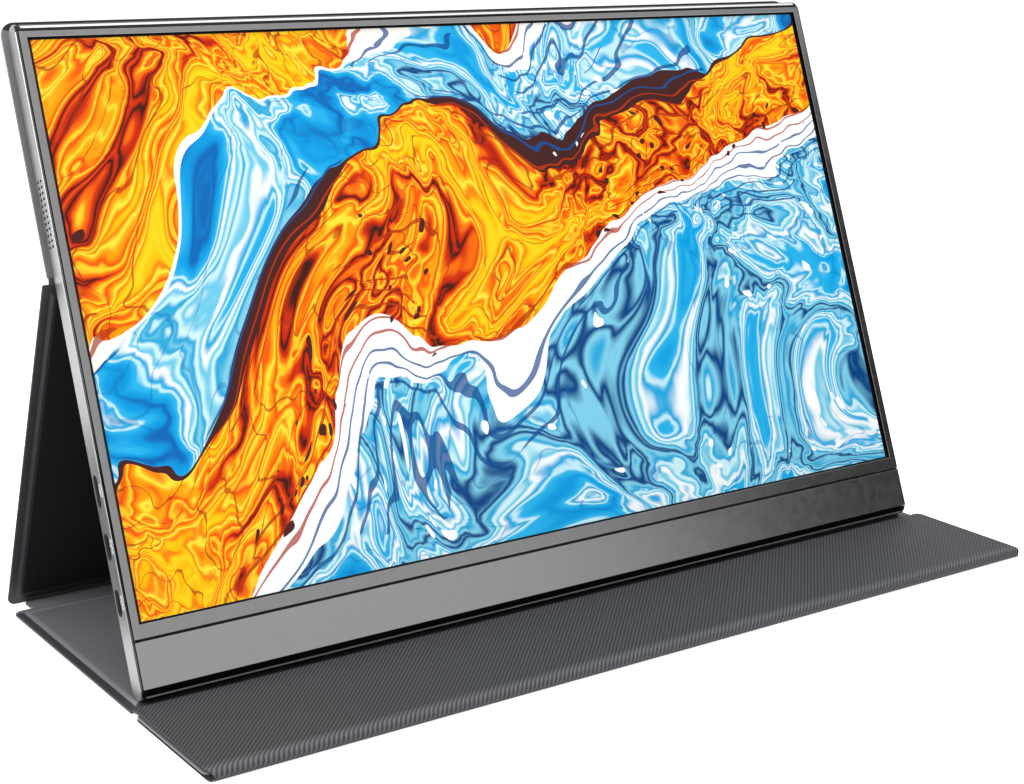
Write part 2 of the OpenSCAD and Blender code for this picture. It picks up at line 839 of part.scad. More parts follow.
// Round bead on a crease, with a web that joins it to the panel carrying it
module crease(length, reach) {
    web = 0.5;
    rotate([0, 90, 0]) cylinder(r = bead_r, h = length, center = true);
    translate([-length / 2, min(reach, 0), -web / 2]) cube([length, abs(reach), web]);
}

module back_crease() {
    color("darkslategray") on_leg() translate([0, leg_l, 0])
        crease(back_w - 2 * crease_in, -keep);
}

leg_d = leg_l - keep + toe;
leg_c = leg_d / 2 - toe;

// Clears the leg's foot edge over the spine's width
module foot_notch() {
    gap = 0.6;
    translate([-(spine_w / 2 + gap), -2 * toe, -panel_t])
        cube([spine_w + 2 * gap, 2 * toe + keep, 2 * panel_t]);
}

module leg_skin() {
    color("darkslategray") on_leg() difference() {
        translate([0, leg_c, 0]) mirror([0, 0, 1])
            half_panel(leg_w, leg_d, panel_r, crease_r, panel_t, panel_board_t);
        foot_notch();
    }
}

module leg_lining() {
    color("dimgray") on_leg() difference() {
        translate([0, leg_c, 0])
            half_panel(leg_w, leg_d, panel_r, crease_r, panel_t, panel_board_t);
        foot_notch();
    }
}

module leg_board() {
    color("burlywood") on_leg()
        translate([0, leg_c, 0]) panel_board(leg_w, leg_d, panel_board_t);
}

// ---- Spine ----

spine_y0 = rear_y + keep;
spine_y1 = foot_y - keep;
spine_lo = base_mid - 0.8;
spine_hi = base_mid + 0.9;
stay_t = 0.7;
stay_in = 0.6;
stay_lo = base_mid - stay_t / 2;

module foot_crease() {
    color("darkslategray") on_table() translate([0, foot_y, foot_z])
        crease(spine_w - 2 * crease_in, -keep);
}

module spine_skin() {
    color("darkslategray") on_table() along_x(spine_w)
        translate([spine_y0, spine_lo]) square([spine_y1 - spine_y0, stay_lo - spine_lo]);
}

module spine_stay() {
    color("burlywood") on_table() along_x(spine_w - 4 * crease_in)
        translate([spine_y0 + stay_in, stay_lo])
            square([spine_y1 - spine_y0 - 2 * stay_in, stay_t]);
}

// Arched strip over the stay
module spine_lining() {
    half = (spine_y1 - spine_y0) / 2;
    rise = 0.35;
    arch_r = (half * half + rise * rise) / (2 * rise);
    color("slategray") on_table() along_x(spine_w) difference() {
        intersection() {
            translate([spine_y0, stay_lo]) square([2 * half, spine_hi - stay_lo]);
            translate([spine_y0 + half, spine_hi - arch_r]) circle(arch_r, $fn = 200);
        }
        translate([spine_y0 + stay_in, stay_lo - eps])
            square([2 * (half - stay_in), stay_t + eps]);
    }
}

// ---- Base ----

base_y0 = front_y + keep;
base_y1 = rear_y - keep;
base_d = base_y1 - base_y0;
base_c = (base_y0 + base_y1) / 2;

module rear_crease() {
    color("darkslategray") on_table() translate([0, rear_y, base_mid])
        crease(spine_w - 2 * crease_in, -keep);
}

module base_skin() {
    color("darkslategray") on_table() translate([0, base_c, base_mid]) mirror([0, 0, 1])
        half_panel(base_w, base_d, crease_r, panel_r, base_t, base_board_t);
}

module base_lining() {
    color("slategray") on_table() translate([0, base_c, base_mid])
        half_panel(base_w, base_d, crease_r, panel_r, base_t, base_board_t);
}

module base_board() {
    color("burlywood") on_table() translate([0, base_c, base_mid])
        panel_board(base_w, base_d, base_board_t);
}

module front_crease() {
    web = 0.35;
    length = base_w - 2 * crease_in;
    color("darkslategray") on_table() translate([0, front_y, 0]) {
        translate([0, 0, front_axis_z]) rotate([0, 90, 0])
            cylinder(r = bead_r, h = length, center = true);
        translate([-length / 2, 0, base_mid]) cube([length, keep, web]);
    }
}

// ---- Front leaves ----

leaf_rear = front_y - keep;
leaf_in = 3;
leaf_hi = 2 * leaf_t + leaf_gap;
leaf_skin_t = (leaf_t - leaf_board_t) / 2;

// Plan outline of a leaf, as a tall prism
module leaf_plan(y0, y1) {
    translate([0, (y0 + y1) / 2, -leaf_hi]) linear_extrude(3 * leaf_hi)
        panel_outline(base_w, y1 - y0, fold_corner_r, crease_r);
}

module leaf_lining() {
    color("dimgray") on_table() intersection() {
        leaf_plan(fold_y - fold_r, leaf_rear);
        along_x(base_w) difference() {
            union() {
                translate([fold_y, fold_r]) circle(fold_r);
                translate([fold_y, leaf_t + leaf_gap]) square([leaf_rear - fold_y, leaf_t]);
            }
            translate([fold_y + fold_r, leaf_t + leaf_gap - eps])
                square([leaf_rear - fold_y - fold_r - leaf_in, leaf_t - leaf_skin_t + eps]);
            translate([fold_y + fold_r, leaf_t + leaf_gap - eps])
                square([leaf_rear - fold_y, leaf_skin_t + eps]);
        }
    }
}

module leaf_board() {
    color("burlywood") on_table()
        translate([-base_w / 2 + leaf_in, fold_y + fold_r, leaf_t + leaf_gap + leaf_skin_t])
            cube([base_w - 2 * leaf_in, leaf_rear - fold_y - fold_r - leaf_in, leaf_board_t]);
}

module leaf_skin() {
    color("darkslategray") on_table() intersection() {
        leaf_plan(fold_y - fold_r, leaf_rear);
        along_x(base_w)
            translate([fold_y + fold_r, leaf_t + leaf_gap])
                square([leaf_rear - fold_y - fold_r, leaf_skin_t]);
    }
}

under_y0 = fold_y + fold_r + bead_gap;
under_y1 = base_y0 - under_gap;
under_in = 2;

// Layer of the folded leaf between two heights, inset from its outline
module under_layer(lo, hi, inset) {
    translate([0, (under_y0 + under_y1) / 2, lo]) linear_extrude(hi - lo)
        round_rect(base_w - 2 * inset, under_y1 - under_y0 - 2 * inset, fold_corner_r - inset);
}

module under_lining() {
    color("dimgray") on_table() under_layer(0, leaf_skin_t, 0);
}

module under_board() {
    color("burlywood") on_table() difference() {
        under_layer(leaf_skin_t, leaf_t - leaf_skin_t, under_in);
        under_pockets(edge_fit, leaf_skin_t);
    }
}

module under_pockets(gap, over) {
    for (i = [0 : magnet_n - 1])
        translate([magnet_x(i), under_y1 - leaf_magnet_d / 2 - 3 * under_in, leaf_skin_t - over])
            cylinder(d = leaf_magnet_d + 2 * gap, h = leaf_board_t + 2 * over);
}

module under_magnets() {
    color("silver") on_table() under_pockets(0, 0);
}

module under_skin() {
    color("darkslategray") on_table() difference() {
        under_layer(leaf_skin_t, leaf_t, 0);
        translate([0, 0, -eps]) under_layer(leaf_skin_t, leaf_t - leaf_skin_t + eps, under_in);
    }
}

front_bezel();
chin_strip();
back_shell();
left_end_plate();
right_end_plate();
end_gaskets();
bezel_tape();
lcd_glass();
optical_films();
light_guide();
reflector_sheet();
panel_tray();
led_strip();
source_board();
main_board();
board_ribbon();
hdmi_socket();
usb_c_sockets();
headphone_socket();
key_board();
speakers();
board_screws();
steel_discs();
foam_strips();
power_button();
menu_rocker();
back_skin();
back_lining();
back_board();
back_magnets();
back_crease();
leg_skin();
leg_lining();
leg_board();
foot_crease();
spine_skin();
spine_stay();
spine_lining();
rear_crease();
base_skin();
base_lining();
base_board();
front_crease();
leaf_lining();
leaf_board();
leaf_skin();
under_lining();
under_board();
under_skin();
under_magnets();
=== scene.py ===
import json
import math
from functools import partial

import bmesh
import bpy
from mathutils import Matrix, Vector


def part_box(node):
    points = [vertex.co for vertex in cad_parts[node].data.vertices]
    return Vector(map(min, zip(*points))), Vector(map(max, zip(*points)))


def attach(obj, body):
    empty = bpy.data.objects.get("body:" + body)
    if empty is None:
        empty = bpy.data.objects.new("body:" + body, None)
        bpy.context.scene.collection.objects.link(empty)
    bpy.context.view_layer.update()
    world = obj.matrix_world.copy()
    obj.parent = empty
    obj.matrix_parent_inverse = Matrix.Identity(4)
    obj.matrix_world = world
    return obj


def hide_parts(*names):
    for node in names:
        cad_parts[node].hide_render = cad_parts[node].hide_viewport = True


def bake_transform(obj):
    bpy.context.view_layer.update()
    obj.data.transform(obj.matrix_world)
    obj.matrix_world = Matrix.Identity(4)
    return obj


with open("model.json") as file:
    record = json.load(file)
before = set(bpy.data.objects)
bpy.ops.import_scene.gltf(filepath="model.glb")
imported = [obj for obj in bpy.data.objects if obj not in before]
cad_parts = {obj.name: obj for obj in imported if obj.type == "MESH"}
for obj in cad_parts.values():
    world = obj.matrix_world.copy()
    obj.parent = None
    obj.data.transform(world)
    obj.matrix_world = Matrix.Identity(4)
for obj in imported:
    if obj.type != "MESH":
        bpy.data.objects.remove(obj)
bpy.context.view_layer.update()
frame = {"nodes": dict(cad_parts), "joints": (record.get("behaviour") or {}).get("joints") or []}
bpy.ops.object.select_all(action="DESELECT")

# Case metal: the front strips and the end plates are aluminium, bead-blasted and anodised, with
# painted shade, black, on the strips' sides and the plates' front lips, where the seams lie in
# shadow. The back shell is polished and dark, with painted shade, a black band, along the gap at
# its front and a painted highlight, one bright line, round its front. A rubber gasket lies inside
# each end plate.

joints = {joint["name"]: joint for joint in frame["joints"]}
lift = joints["case_lift"]["axis"]
lean = math.atan2(lift[1], lift[2])
case_r = 0.0044
plate_low = Vector(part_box("left_end_plate")[0])
round_centre = Vector((0.0, plate_low.y + case_r, plate_low.z + case_r))
case_frame = (Matrix.Translation(round_centre) @ Matrix.Rotation(-lean, 4, "X")
              @ Matrix.Translation((0.0, -case_r, -case_r)))
strip_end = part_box("front_bezel")[1][0]
strip_rim = 0.0004
# Painted shade: the strips' sides and the plates' and keys' lips are black between these depths,
# for the seams' shadow.
strip_side_shade = (0.00012, 0.0030)
lip_shade_depths = (-0.0010, 0.00175)
pit_depth = 0.000012
# Painted shade: the black of the seams' shadow.
seam_shade_black = (0.004, 0.004, 0.004)
# Painted shade and painted highlight: the depths where the shell's black band and its bright line
# end.
gap_shade_depth = 0.0015
highlight_depth = 0.00235
ramp_depth = 0.01
cut_slope = 0.0040


def new_finish(name, colour, roughness, metallic=0.0):
    """A node material and its shader, ready for the pattern of one finish."""
    finish = bpy.data.materials.new(name)
    finish.use_nodes = True
    shader = finish.node_tree.nodes["Principled BSDF"]
    shader.inputs["Base Color"].default_value = (*colour, 1.0)
    shader.inputs["Roughness"].default_value = roughness
    shader.inputs["Metallic"].default_value = metallic
    return finish, finish.node_tree.nodes, finish.node_tree.links, shader


def add_node(nodes, kind, **settings):
    """A shader node with its settings and the values of its inputs."""
    node = nodes.new(kind)
    for key, value in settings.items():
        if key in node.inputs:
            node.inputs[key].default_value = value
        else:
            setattr(node, key, value)
    return node


def reckon(nodes, links, operation, *values):
    """One step of arithmetic on numbers or sockets."""
    node = add_node(nodes, "ShaderNodeMath", operation=operation)
    for socket, value in zip(node.inputs, values):
        if isinstance(value, (int, float)):
            socket.default_value = value
        else:
            links.new(value, socket)
    return node.outputs[0]


def mixed(nodes, links, share, first, second):
    """Two colours, or sockets that carry them, blended by a share."""
    blend = add_node(nodes, "ShaderNodeMix", data_type="RGBA")
    links.new(share, blend.inputs[0])
    for socket, colour in ((blend.inputs[6], first), (blend.inputs[7], second)):
        if isinstance(colour, tuple):
            socket.default_value = (*colour, 1.0)
        else:
            links.new(colour, socket)
    return blend.outputs[2]


def place_of(nodes):
    """Where a point lies on the object, in metres."""
    return add_node(nodes, "ShaderNodeTexCoord").outputs["Object"]


def case_place(nodes, links):
    """Where a point lies in the case's own frame: across, behind its front, and up."""
    mapping = add_node(nodes, "ShaderNodeMapping", vector_type="TEXTURE")
    mapping.inputs["Location"].default_value = case_frame.translation
    mapping.inputs["Rotation"].default_value = (-lean, 0.0, 0.0)
    parts = add_node(nodes, "ShaderNodeSeparateXYZ")
    links.new(place_of(nodes), mapping.inputs["Vector"])
    links.new(mapping.outputs["Vector"], parts.inputs[0])
    return mapping.outputs["Vector"], parts.outputs


def vary(nodes, links, source, low, high, socket):
    """A 0 to 1 pattern spread between two values of a shader's socket."""
    spread = add_node(nodes, "ShaderNodeMapRange")
    spread.inputs["To Min"].default_value = low
    spread.inputs["To Max"].default_value = high
    links.new(source, spread.inputs["Value"])
    links.new(spread.outputs["Result"], socket)


def raise_grain(nodes, links, shader, height, depth, strength=1.0):
    """Fine relief under a finish: the height pattern, and how deep it goes in metres."""
    bump = add_node(nodes, "ShaderNodeBump")
    bump.inputs["Distance"].default_value = depth
    bump.inputs["Strength"].default_value = strength
    links.new(height, bump.inputs["Height"])
    links.new(bump.outputs["Normal"], shader.inputs["Normal"])


def tint(nodes, links, source, dark, light, shader):
    """A pattern that blends two colours into a finish."""
    links.new(mixed(nodes, links, source, dark, light), shader.inputs["Base Color"])


def dress(finish, *names):
    """Gives a finish to nodes of the frame."""
    for name in names:
        piece = frame["nodes"][name]
        if not piece.material_slots:
            piece.data.materials.append(finish)
        for holder in piece.material_slots:
            holder.material = finish


def blasted_metal(name, dark, light, roughness, black, reach=1.0, metallic=1.0):
    """Bead-blasted anodised aluminium: fine pits and a faint mottling. It has painted shade,
    black, between two depths behind the case's front and past a reach to each side, where the
    seams beside it lie in shadow."""
    finish, nodes, links, shader = new_finish(name, light, roughness, metallic)
    calc = partial(reckon, nodes, links)
    where = place_of(nodes)
    pits = add_node(nodes, "ShaderNodeTexNoise", Scale=3200.0, Detail=2.0)
    mottle = add_node(nodes, "ShaderNodeTexNoise", Scale=260.0, Detail=3.0)
    for pattern in (pits, mottle):
        links.new(where, pattern.inputs["Vector"])
    vary(nodes, links, mottle.outputs["Fac"], roughness - 0.04, roughness + 0.06,
         shader.inputs["Roughness"])
    raise_grain(nodes, links, shader, pits.outputs["Fac"], pit_depth)
    _, parts = case_place(nodes, links)
    # Painted shade: black in a band of depths and past the reach, where the seams lie in shadow.
    front, back = black
    between = calc("COMPARE", parts["Y"], (front + back) / 2, (back - front) / 2)
    past = calc("GREATER_THAN", calc("ABSOLUTE", parts["X"]), reach)
    blasted = mixed(nodes, links, mottle.outputs["Fac"], dark, light)
    tint(nodes, links, calc("MAXIMUM", between, past), blasted, seam_shade_black, shader)
    return finish


def colour_ramp(nodes, stops, interpolation="EASE"):
    """A colour ramp with a stop for each place and colour."""
    ramp = add_node(nodes, "ShaderNodeValToRGB")
    ramp.color_ramp.interpolation = interpolation
    strip = ramp.color_ramp.elements
    while len(strip) < len(stops):
        strip.new(0.5)
    for element, (where, colour) in zip(strip, stops):
        element.position = where
        element.color = (*colour, 1.0)
    return ramp


def shaded_gap_highlight_metal(name, polished, gap, line, roughness):
    """Polished metal behind painted shade, a black band for the gap, with a painted highlight, a
    bright line, where the two meet. The line lies farther back along the bottom than along the
    top."""
    finish, nodes, links, shader = new_finish(name, polished, roughness)
    where, parts = case_place(nodes, links)
    cloud = add_node(nodes, "ShaderNodeTexNoise", Scale=300.0, Detail=3.0)
    links.new(where, cloud.inputs["Vector"])
    along = add_node(nodes, "ShaderNodeMapRange")
    along.inputs["From Max"].default_value = ramp_depth
    links.new(reckon(nodes, links, "MULTIPLY_ADD", parts["Z"], cut_slope, parts["Y"]),
              along.inputs["Value"])
    starts = (0.0, gap_shade_depth / ramp_depth, highlight_depth / ramp_depth)
    dull, faint = (0.0, 0.0, 0.0), (0.2, 0.2, 0.2)
    for colours, socket in (((gap, line, polished), "Base Color"),
                            ((dull, faint, dull), "Metallic")):
        zones = colour_ramp(nodes, list(zip(starts, colours)), "CONSTANT")
        links.new(along.outputs["Result"], zones.inputs["Fac"])
        links.new(zones.outputs["Color"], shader.inputs[socket])
    vary(nodes, links, cloud.outputs["Fac"], roughness - 0.03, roughness + 0.05,
         shader.inputs["Roughness"])
    shader.inputs["Specular IOR Level"].default_value = 0.08
    return finish


def matt_grain(name, colour, roughness, scale, depth):
    """A matt finish with a fine even grain: moulded rubber or plastic, ink or felt."""
    finish, nodes, links, shader = new_finish(name, colour, roughness)
    grain = add_node(nodes, "ShaderNodeTexNoise", Scale=scale, Detail=3.0)
    links.new(place_of(nodes), grain.inputs["Vector"])
    vary(nodes, links, grain.outputs["Fac"], roughness - 0.08, roughness + 0.08,
         shader.inputs["Roughness"])
    tint(nodes, links, grain.outputs["Fac"], tuple(0.7 * c for c in colour), colour, shader)
    raise_grain(nodes, links, shader, grain.outputs["Fac"], depth)
    shader.inputs["Specular IOR Level"].default_value = 0.25
    return finish


# The bezel and the chin are one aluminium; their two sets of colours are a darker and a lighter
# copy of it, painted shade and painted light.
dress(blasted_metal("bezel_aluminium", (0.255, 0.255, 0.257), (0.29, 0.29, 0.292), 0.24,
                    strip_side_shade, strip_end - strip_rim), "front_bezel")
dress(blasted_metal("chin_aluminium", (0.30, 0.30, 0.302), (0.335, 0.335, 0.337), 0.24,
                    strip_side_shade, strip_end - strip_rim), "chin_strip")
dress(blasted_metal("end_plate_aluminium", (0.34, 0.34, 0.342), (0.40, 0.40, 0.402), 0.32,
                    lip_shade_depths, metallic=0.85), "left_end_plate", "right_end_plate")
# Painted shade and painted highlight: a black band for the gap's shadow and a bright line for a
# reflection along the shell's front.
dress(shaded_gap_highlight_metal("shell_aluminium", (0.012, 0.012, 0.0125), (0.004, 0.004, 0.004),
                     (0.92, 0.92, 0.92), 0.22), "back_shell")
gasket_rubber = matt_grain("gasket_rubber", (0.012, 0.012, 0.013), roughness=0.6,
                           scale=2400.0, depth=0.00002)
dress(gasket_rubber, "end_gaskets")
dress(matt_grain("black_tape", (0.006, 0.006, 0.006), roughness=0.5, scale=1800.0,
                 depth=0.00001), "bezel_tape")

# Screen: the liquid-crystal glass behind the bezel's window, held there by black tape. It
# shows a marbled picture of broad flowing bands, with a thin dark margin round the lit area.

picture_w = 0.3430
picture_h = 0.1936
chin_h = 0.0249
picture_glow = 0.36
dark_margin = (0.004, 0.004, 0.005)
picture_centre = case_frame @ Vector((0.0, 0.0, chin_h + picture_h / 2))


def marbled_screen():
    """Glass with the picture in its own colours, lit a little from behind."""
    finish, nodes, links, shader = new_finish("screen_picture", (0.02, 0.02, 0.02), 0.3)
    flat = add_node(nodes, "ShaderNodeMapping", vector_type="TEXTURE")
    flat.inputs["Location"].default_value = picture_centre
    flat.inputs["Rotation"].default_value = (-lean, 0.0, 0.0)
    links.new(place_of(nodes), flat.inputs["Vector"])
    spot = flat.outputs["Vector"]
    calc = partial(reckon, nodes, links)
    blend = partial(mixed, nodes, links)

    def swirl(vector, scale, amount, detail):
        """The place moved about by a noise, so that what follows flows round it."""
        noise = add_node(nodes, "ShaderNodeTexNoise", Scale=scale, Detail=detail)
        links.new(vector, noise.inputs["Vector"])
        centred = add_node(nodes, "ShaderNodeVectorMath", operation="SUBTRACT")
        centred.inputs[1].default_value = (0.5, 0.5, 0.5)
        links.new(noise.outputs["Color"], centred.inputs[0])
        moved = add_node(nodes, "ShaderNodeVectorMath", operation="MULTIPLY_ADD")
        moved.inputs[1].default_value = (amount, amount, amount)
        links.new(centred.outputs[0], moved.inputs[0])
        links.new(vector, moved.inputs[2])
        return moved.outputs[0]

    def layers(vector, scale, detail, turns):
        """Contours of a noise: a value that runs from 0 to 1 and back between them."""
        noise = add_node(nodes, "ShaderNodeTexNoise", Scale=scale, Detail=detail, Roughness=0.45)
        links.new(vector, noise.inputs["Vector"])
        return calc("PINGPONG", calc("MULTIPLY", noise.outputs["Fac"], turns), 1.0)

    # The place is stirred three times, and slanting streams run through it.
    broad = swirl(spot, scale=7.0, amount=0.20, detail=1.0)
    flowing = swirl(broad, scale=24.0, amount=0.045, detail=2.0)
    fine = swirl(flowing, scale=75.0, amount=0.008, detail=3.0)
    part = add_node(nodes, "ShaderNodeSeparateXYZ")
    links.new(flowing, part.inputs[0])
    climb = calc("MULTIPLY_ADD", part.outputs["Z"], 3.1, 0.5)
    stream = calc("MULTIPLY_ADD", part.outputs["X"], -1.45, climb)

    # Each pour has its own colours, which follow the contours of a noise.
    warm = colour_ramp(nodes, [
        (0.00, (0.96, 0.62, 0.01)), (0.14, (0.93, 0.50, 0.00)), (0.24, (0.90, 0.22, 0.00)),
        (0.34, (0.97, 0.72, 0.04)), (0.44, (0.93, 0.34, 0.00)), (0.58, (0.88, 0.09, 0.00)),
        (0.66, (0.97, 0.60, 0.02)), (0.78, (0.90, 0.15, 0.00)), (0.90, (0.55, 0.02, 0.00)),
        (1.00, (0.03, 0.005, 0.00))])
    cool = colour_ramp(nodes, [
        (0.00, (0.00, 0.12, 0.42)), (0.16, (0.00, 0.30, 0.68)), (0.34, (0.02, 0.42, 0.76)),
        (0.41, (0.52, 0.80, 0.87)), (0.47, (0.01, 0.36, 0.68)), (0.58, (0.88, 0.93, 0.93)),
        (0.65, (0.14, 0.54, 0.74)), (0.74, (0.60, 0.84, 0.89)), (0.80, (0.02, 0.36, 0.64)),
        (0.90, (0.20, 0.58, 0.76)), (1.00, (0.00, 0.05, 0.20))])
    patch = add_node(nodes, "ShaderNodeTexNoise", Scale=11.0, Detail=1.0)
    links.new(broad, patch.inputs["Vector"])
    drift = patch.outputs["Fac"]
    for ramp, scale, turns, pull in ((warm, 19.0, 13.0, 2.2), (cool, 16.0, 9.5, 1.5)):
        shift = calc("MULTIPLY", calc("SUBTRACT", drift, 0.5), pull)
        steps = calc("MULTIPLY", layers(fine, scale, 3.0, turns), 0.82)
        place = calc("ADD", calc("ADD", steps, shift), 0.17)
        links.new(calc("PINGPONG", place, 1.0), ramp.inputs["Fac"])
    # Thin veins run through both pours.
    veins = calc("GREATER_THAN", layers(fine, scale=13.0, detail=2.0, turns=34.0), 0.94)
    warm_poured = blend(calc("MULTIPLY", veins, 0.7), warm.outputs["Color"], (0.34, 0.02, 0.00))
    cool_poured = blend(calc("MULTIPLY", veins, 0.4), cool.outputs["Color"], (0.00, 0.12, 0.40))
    # The streams are warm and cool by turns, and meet along three shores.
    shores = (0.430, 0.655, 0.800)
    side = colour_ramp(nodes, [
        (0.0, (0.0, 0.0, 0.0)), (shores[0], (1.0, 1.0, 1.0)), (shores[1], (0.0, 0.0, 0.0)),
        (shores[2], (1.0, 1.0, 1.0))], "CONSTANT")
    bank = colour_ramp(nodes, [
        (0.0, (0.92, 0.95, 0.95)), (0.55, (0.05, 0.01, 0.01)), (0.73, (0.92, 0.90, 0.84))],
        "CONSTANT")
    for ramp in (side, bank):
        links.new(stream, ramp.inputs["Fac"])
    poured = blend(side.outputs["Color"], cool_poured, warm_poured)
    away = None
    for shore in shores:
        reach = calc("ABSOLUTE", calc("SUBTRACT", stream, shore))
        away = reach if away is None else calc("MINIMUM", away, reach)
    # A bank lies along each shore, broader in places, with ripples beside it.
    swell = calc("MAXIMUM", calc("SUBTRACT", drift, 0.44), 0.0)
    width = calc("ADD", calc("MULTIPLY", swell, 0.16), 0.0025)
    poured = blend(calc("LESS_THAN", away, width), poured, bank.outputs["Color"])
    ripples = calc("GREATER_THAN", calc("PINGPONG", calc("MULTIPLY", away, 95.0), 1.0), 0.82)
    near = calc("LESS_THAN", away, calc("MULTIPLY", width, 2.6))
    ripple_colour = blend(side.outputs["Color"], (0.00, 0.07, 0.26), (0.42, 0.03, 0.00))
    poured = blend(calc("MULTIPLY", calc("MULTIPLY", ripples, near), 0.85), poured,
                   ripple_colour)

    # Round drops have fallen on a few patches.
    cells = add_node(nodes, "ShaderNodeTexVoronoi", Scale=95.0)
    links.new(fine, cells.inputs["Vector"])
    drops = calc("LESS_THAN", cells.outputs["Distance"], 0.19)
    drops = calc("MULTIPLY", drops, calc("GREATER_THAN", drift, 0.55))
    drop_colour = blend(side.outputs["Color"], (0.95, 0.95, 0.93), (0.07, 0.01, 0.01))
    poured = blend(drops, poured, drop_colour)

    # The picture ends at the lit area.
    plain = add_node(nodes, "ShaderNodeSeparateXYZ")
    links.new(spot, plain.inputs[0])
    in_width = calc("LESS_THAN", calc("ABSOLUTE", plain.outputs["X"]), picture_w / 2)
    in_height = calc("LESS_THAN", calc("ABSOLUTE", plain.outputs["Z"]), picture_h / 2)
    shown = blend(calc("MULTIPLY", in_width, in_height), dark_margin, poured)
    links.new(shown, shader.inputs["Base Color"])
    links.new(shown, shader.inputs["Emission Color"])
    shader.inputs["Emission Strength"].default_value = picture_glow
    shader.inputs["Specular IOR Level"].default_value = 0.2
    return finish


dress(marbled_screen(), "lcd_glass")

# Sockets and speakers: the port sockets are drawn steel shells with a dark tongue, soldered to
# the main board, and the headphone socket and the speakers' boxes are moulded black plastic.
# They lie behind openings in the end plates. The solids are the frame's own.


def plated_steel(name, colour, roughness):
    """Drawn or turned steel with faint lines along its length."""
    finish, nodes, links, shader = new_finish(name, colour, roughness, 1.0)
    drawn = add_node(nodes, "ShaderNodeMapping")
    drawn.inputs["Scale"].default_value = (1.0, 12.0, 12.0)
    lines = add_node(nodes, "ShaderNodeTexNoise", Scale=900.0, Detail=2.0)
    links.new(place_of(nodes), drawn.inputs["Vector"])
    links.new(drawn.outputs[0], lines.inputs["Vector"])
    vary(nodes, links, lines.outputs["Fac"], roughness - 0.06, roughness + 0.1,
         shader.inputs["Roughness"])
    tint(nodes, links, lines.outputs["Fac"], tuple(0.8 * c for c in colour), colour, shader)
    return finish


dress(plated_steel("socket_steel", (0.012, 0.012, 0.012), 0.5), "hdmi_socket", "usb_c_sockets")
dress(matt_grain("jack_plastic", (0.018, 0.018, 0.019), roughness=0.4, scale=1500.0,
                 depth=0.00002), "headphone_socket")
dress(matt_grain("speaker_plastic", (0.022, 0.022, 0.023), roughness=0.5, scale=1500.0,
                 depth=0.00002), "speakers")

# Groove plugs: a short plug of the gaskets' rubber closes each end of the groove between bezel
# and chin. It is cut from cord and pressed in, and stops just short of the strips' ends.

groove_drop = 0.0058
groove_w = 0.0008
plug_l = 0.0009
plug_t = 0.0011
plug_depth = 0.00085
plug_inset = 0.00005
plug_fit = 0.00004


def settle(piece, frame_matrix):
    """Puts a piece modelled flat into its place, and leaves its object at the origin."""
    bpy.ops.object.select_all(action="DESELECT")
    piece.select_set(True)
    bpy.context.view_layer.objects.active = piece
    piece.matrix_world = frame_matrix
    bpy.ops.object.transform_apply(location=True, rotation=True, scale=True)


def block_group(name, blocks, frame_matrix, finish):
    """Small blocks, each with its middle and size, joined in one piece and put in place."""
    made = []
    for middle, size in blocks:
        bpy.ops.mesh.primitive_cube_add(size=1.0, location=middle)
        block = bpy.context.object
        block.scale = size
        bpy.ops.object.transform_apply(location=True, rotation=True, scale=True)
        made.append(block)
    for block in made:
        block.select_set(True)
    bpy.ops.object.join()
    group = bpy.context.object
    group.name = name
    settle(group, frame_matrix)
    group.data.materials.append(finish)
    return group


plug_x = strip_end - plug_l / 2 - plug_inset
plugs = block_group("groove_plugs",
                    [((side * plug_x, plug_depth, chin_h - groove_drop),
                      (plug_l, plug_t, groove_w - plug_fit)) for side in (-1, 1)],
                    case_frame, gasket_rubber)
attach(plugs, "case")

# Controls: the power button and the menu rocker are small aluminium keys, blasted and anodised
# a shade darker than the plate. They stand in its openings, in front of switches on a board.

# The keys' lips take the same painted shade, black, as the plates' lips.
dress(blasted_metal("control_aluminium", (0.20, 0.20, 0.21), (0.28, 0.28, 0.285), 0.3,
                    lip_shade_depths), "power_button", "menu_rocker")

# Inside: the films, the light bar and the steel tray make up the panel, and boards, screws,
# magnets and foam lie round it and in the cover. None of them shows while the case is closed,
# so each has the plain finish of its stock.


def sheet_stock(name, dark, light, roughness, scale):
    """Film, board or foam stock with a little unevenness."""
    finish, nodes, links, shader = new_finish(name, light, roughness)
    cloud = add_node(nodes, "ShaderNodeTexNoise", Scale=scale, Detail=2.0)
    links.new(place_of(nodes), cloud.inputs["Vector"])
    tint(nodes, links, cloud.outputs["Fac"], dark, light, shader)
    return finish


dress(sheet_stock("diffuser_film", (0.78, 0.80, 0.84), (0.85, 0.87, 0.90), 0.5, 40.0),
      "optical_films")
dress(sheet_stock("acrylic_guide", (0.74, 0.82, 0.86), (0.82, 0.88, 0.92), 0.12, 30.0),
      "light_guide")
dress(sheet_stock("white_reflector", (0.84, 0.84, 0.84), (0.92, 0.92, 0.92), 0.6, 60.0),
      "reflector_sheet")
dress(plated_steel("tray_steel", (0.50, 0.50, 0.50), 0.42), "panel_tray")
dress(sheet_stock("led_bar", (0.68, 0.62, 0.34), (0.78, 0.74, 0.45), 0.4, 700.0), "led_strip")
dress(sheet_stock("solder_mask", (0.012, 0.09, 0.03), (0.02, 0.16, 0.06), 0.32, 900.0),
      "source_board", "main_board", "key_board")
dress(sheet_stock("amber_ribbon", (0.48, 0.22, 0.03), (0.60, 0.30, 0.05), 0.35, 300.0),
      "board_ribbon")
dress(plated_steel("screw_steel", (0.55, 0.55, 0.55), 0.28), "board_screws")
dress(plated_steel("disc_steel", (0.45, 0.45, 0.45), 0.36), "steel_discs")
dress(plated_steel("magnet_nickel", (0.60, 0.60, 0.60), 0.22), "back_magnets", "under_magnets")
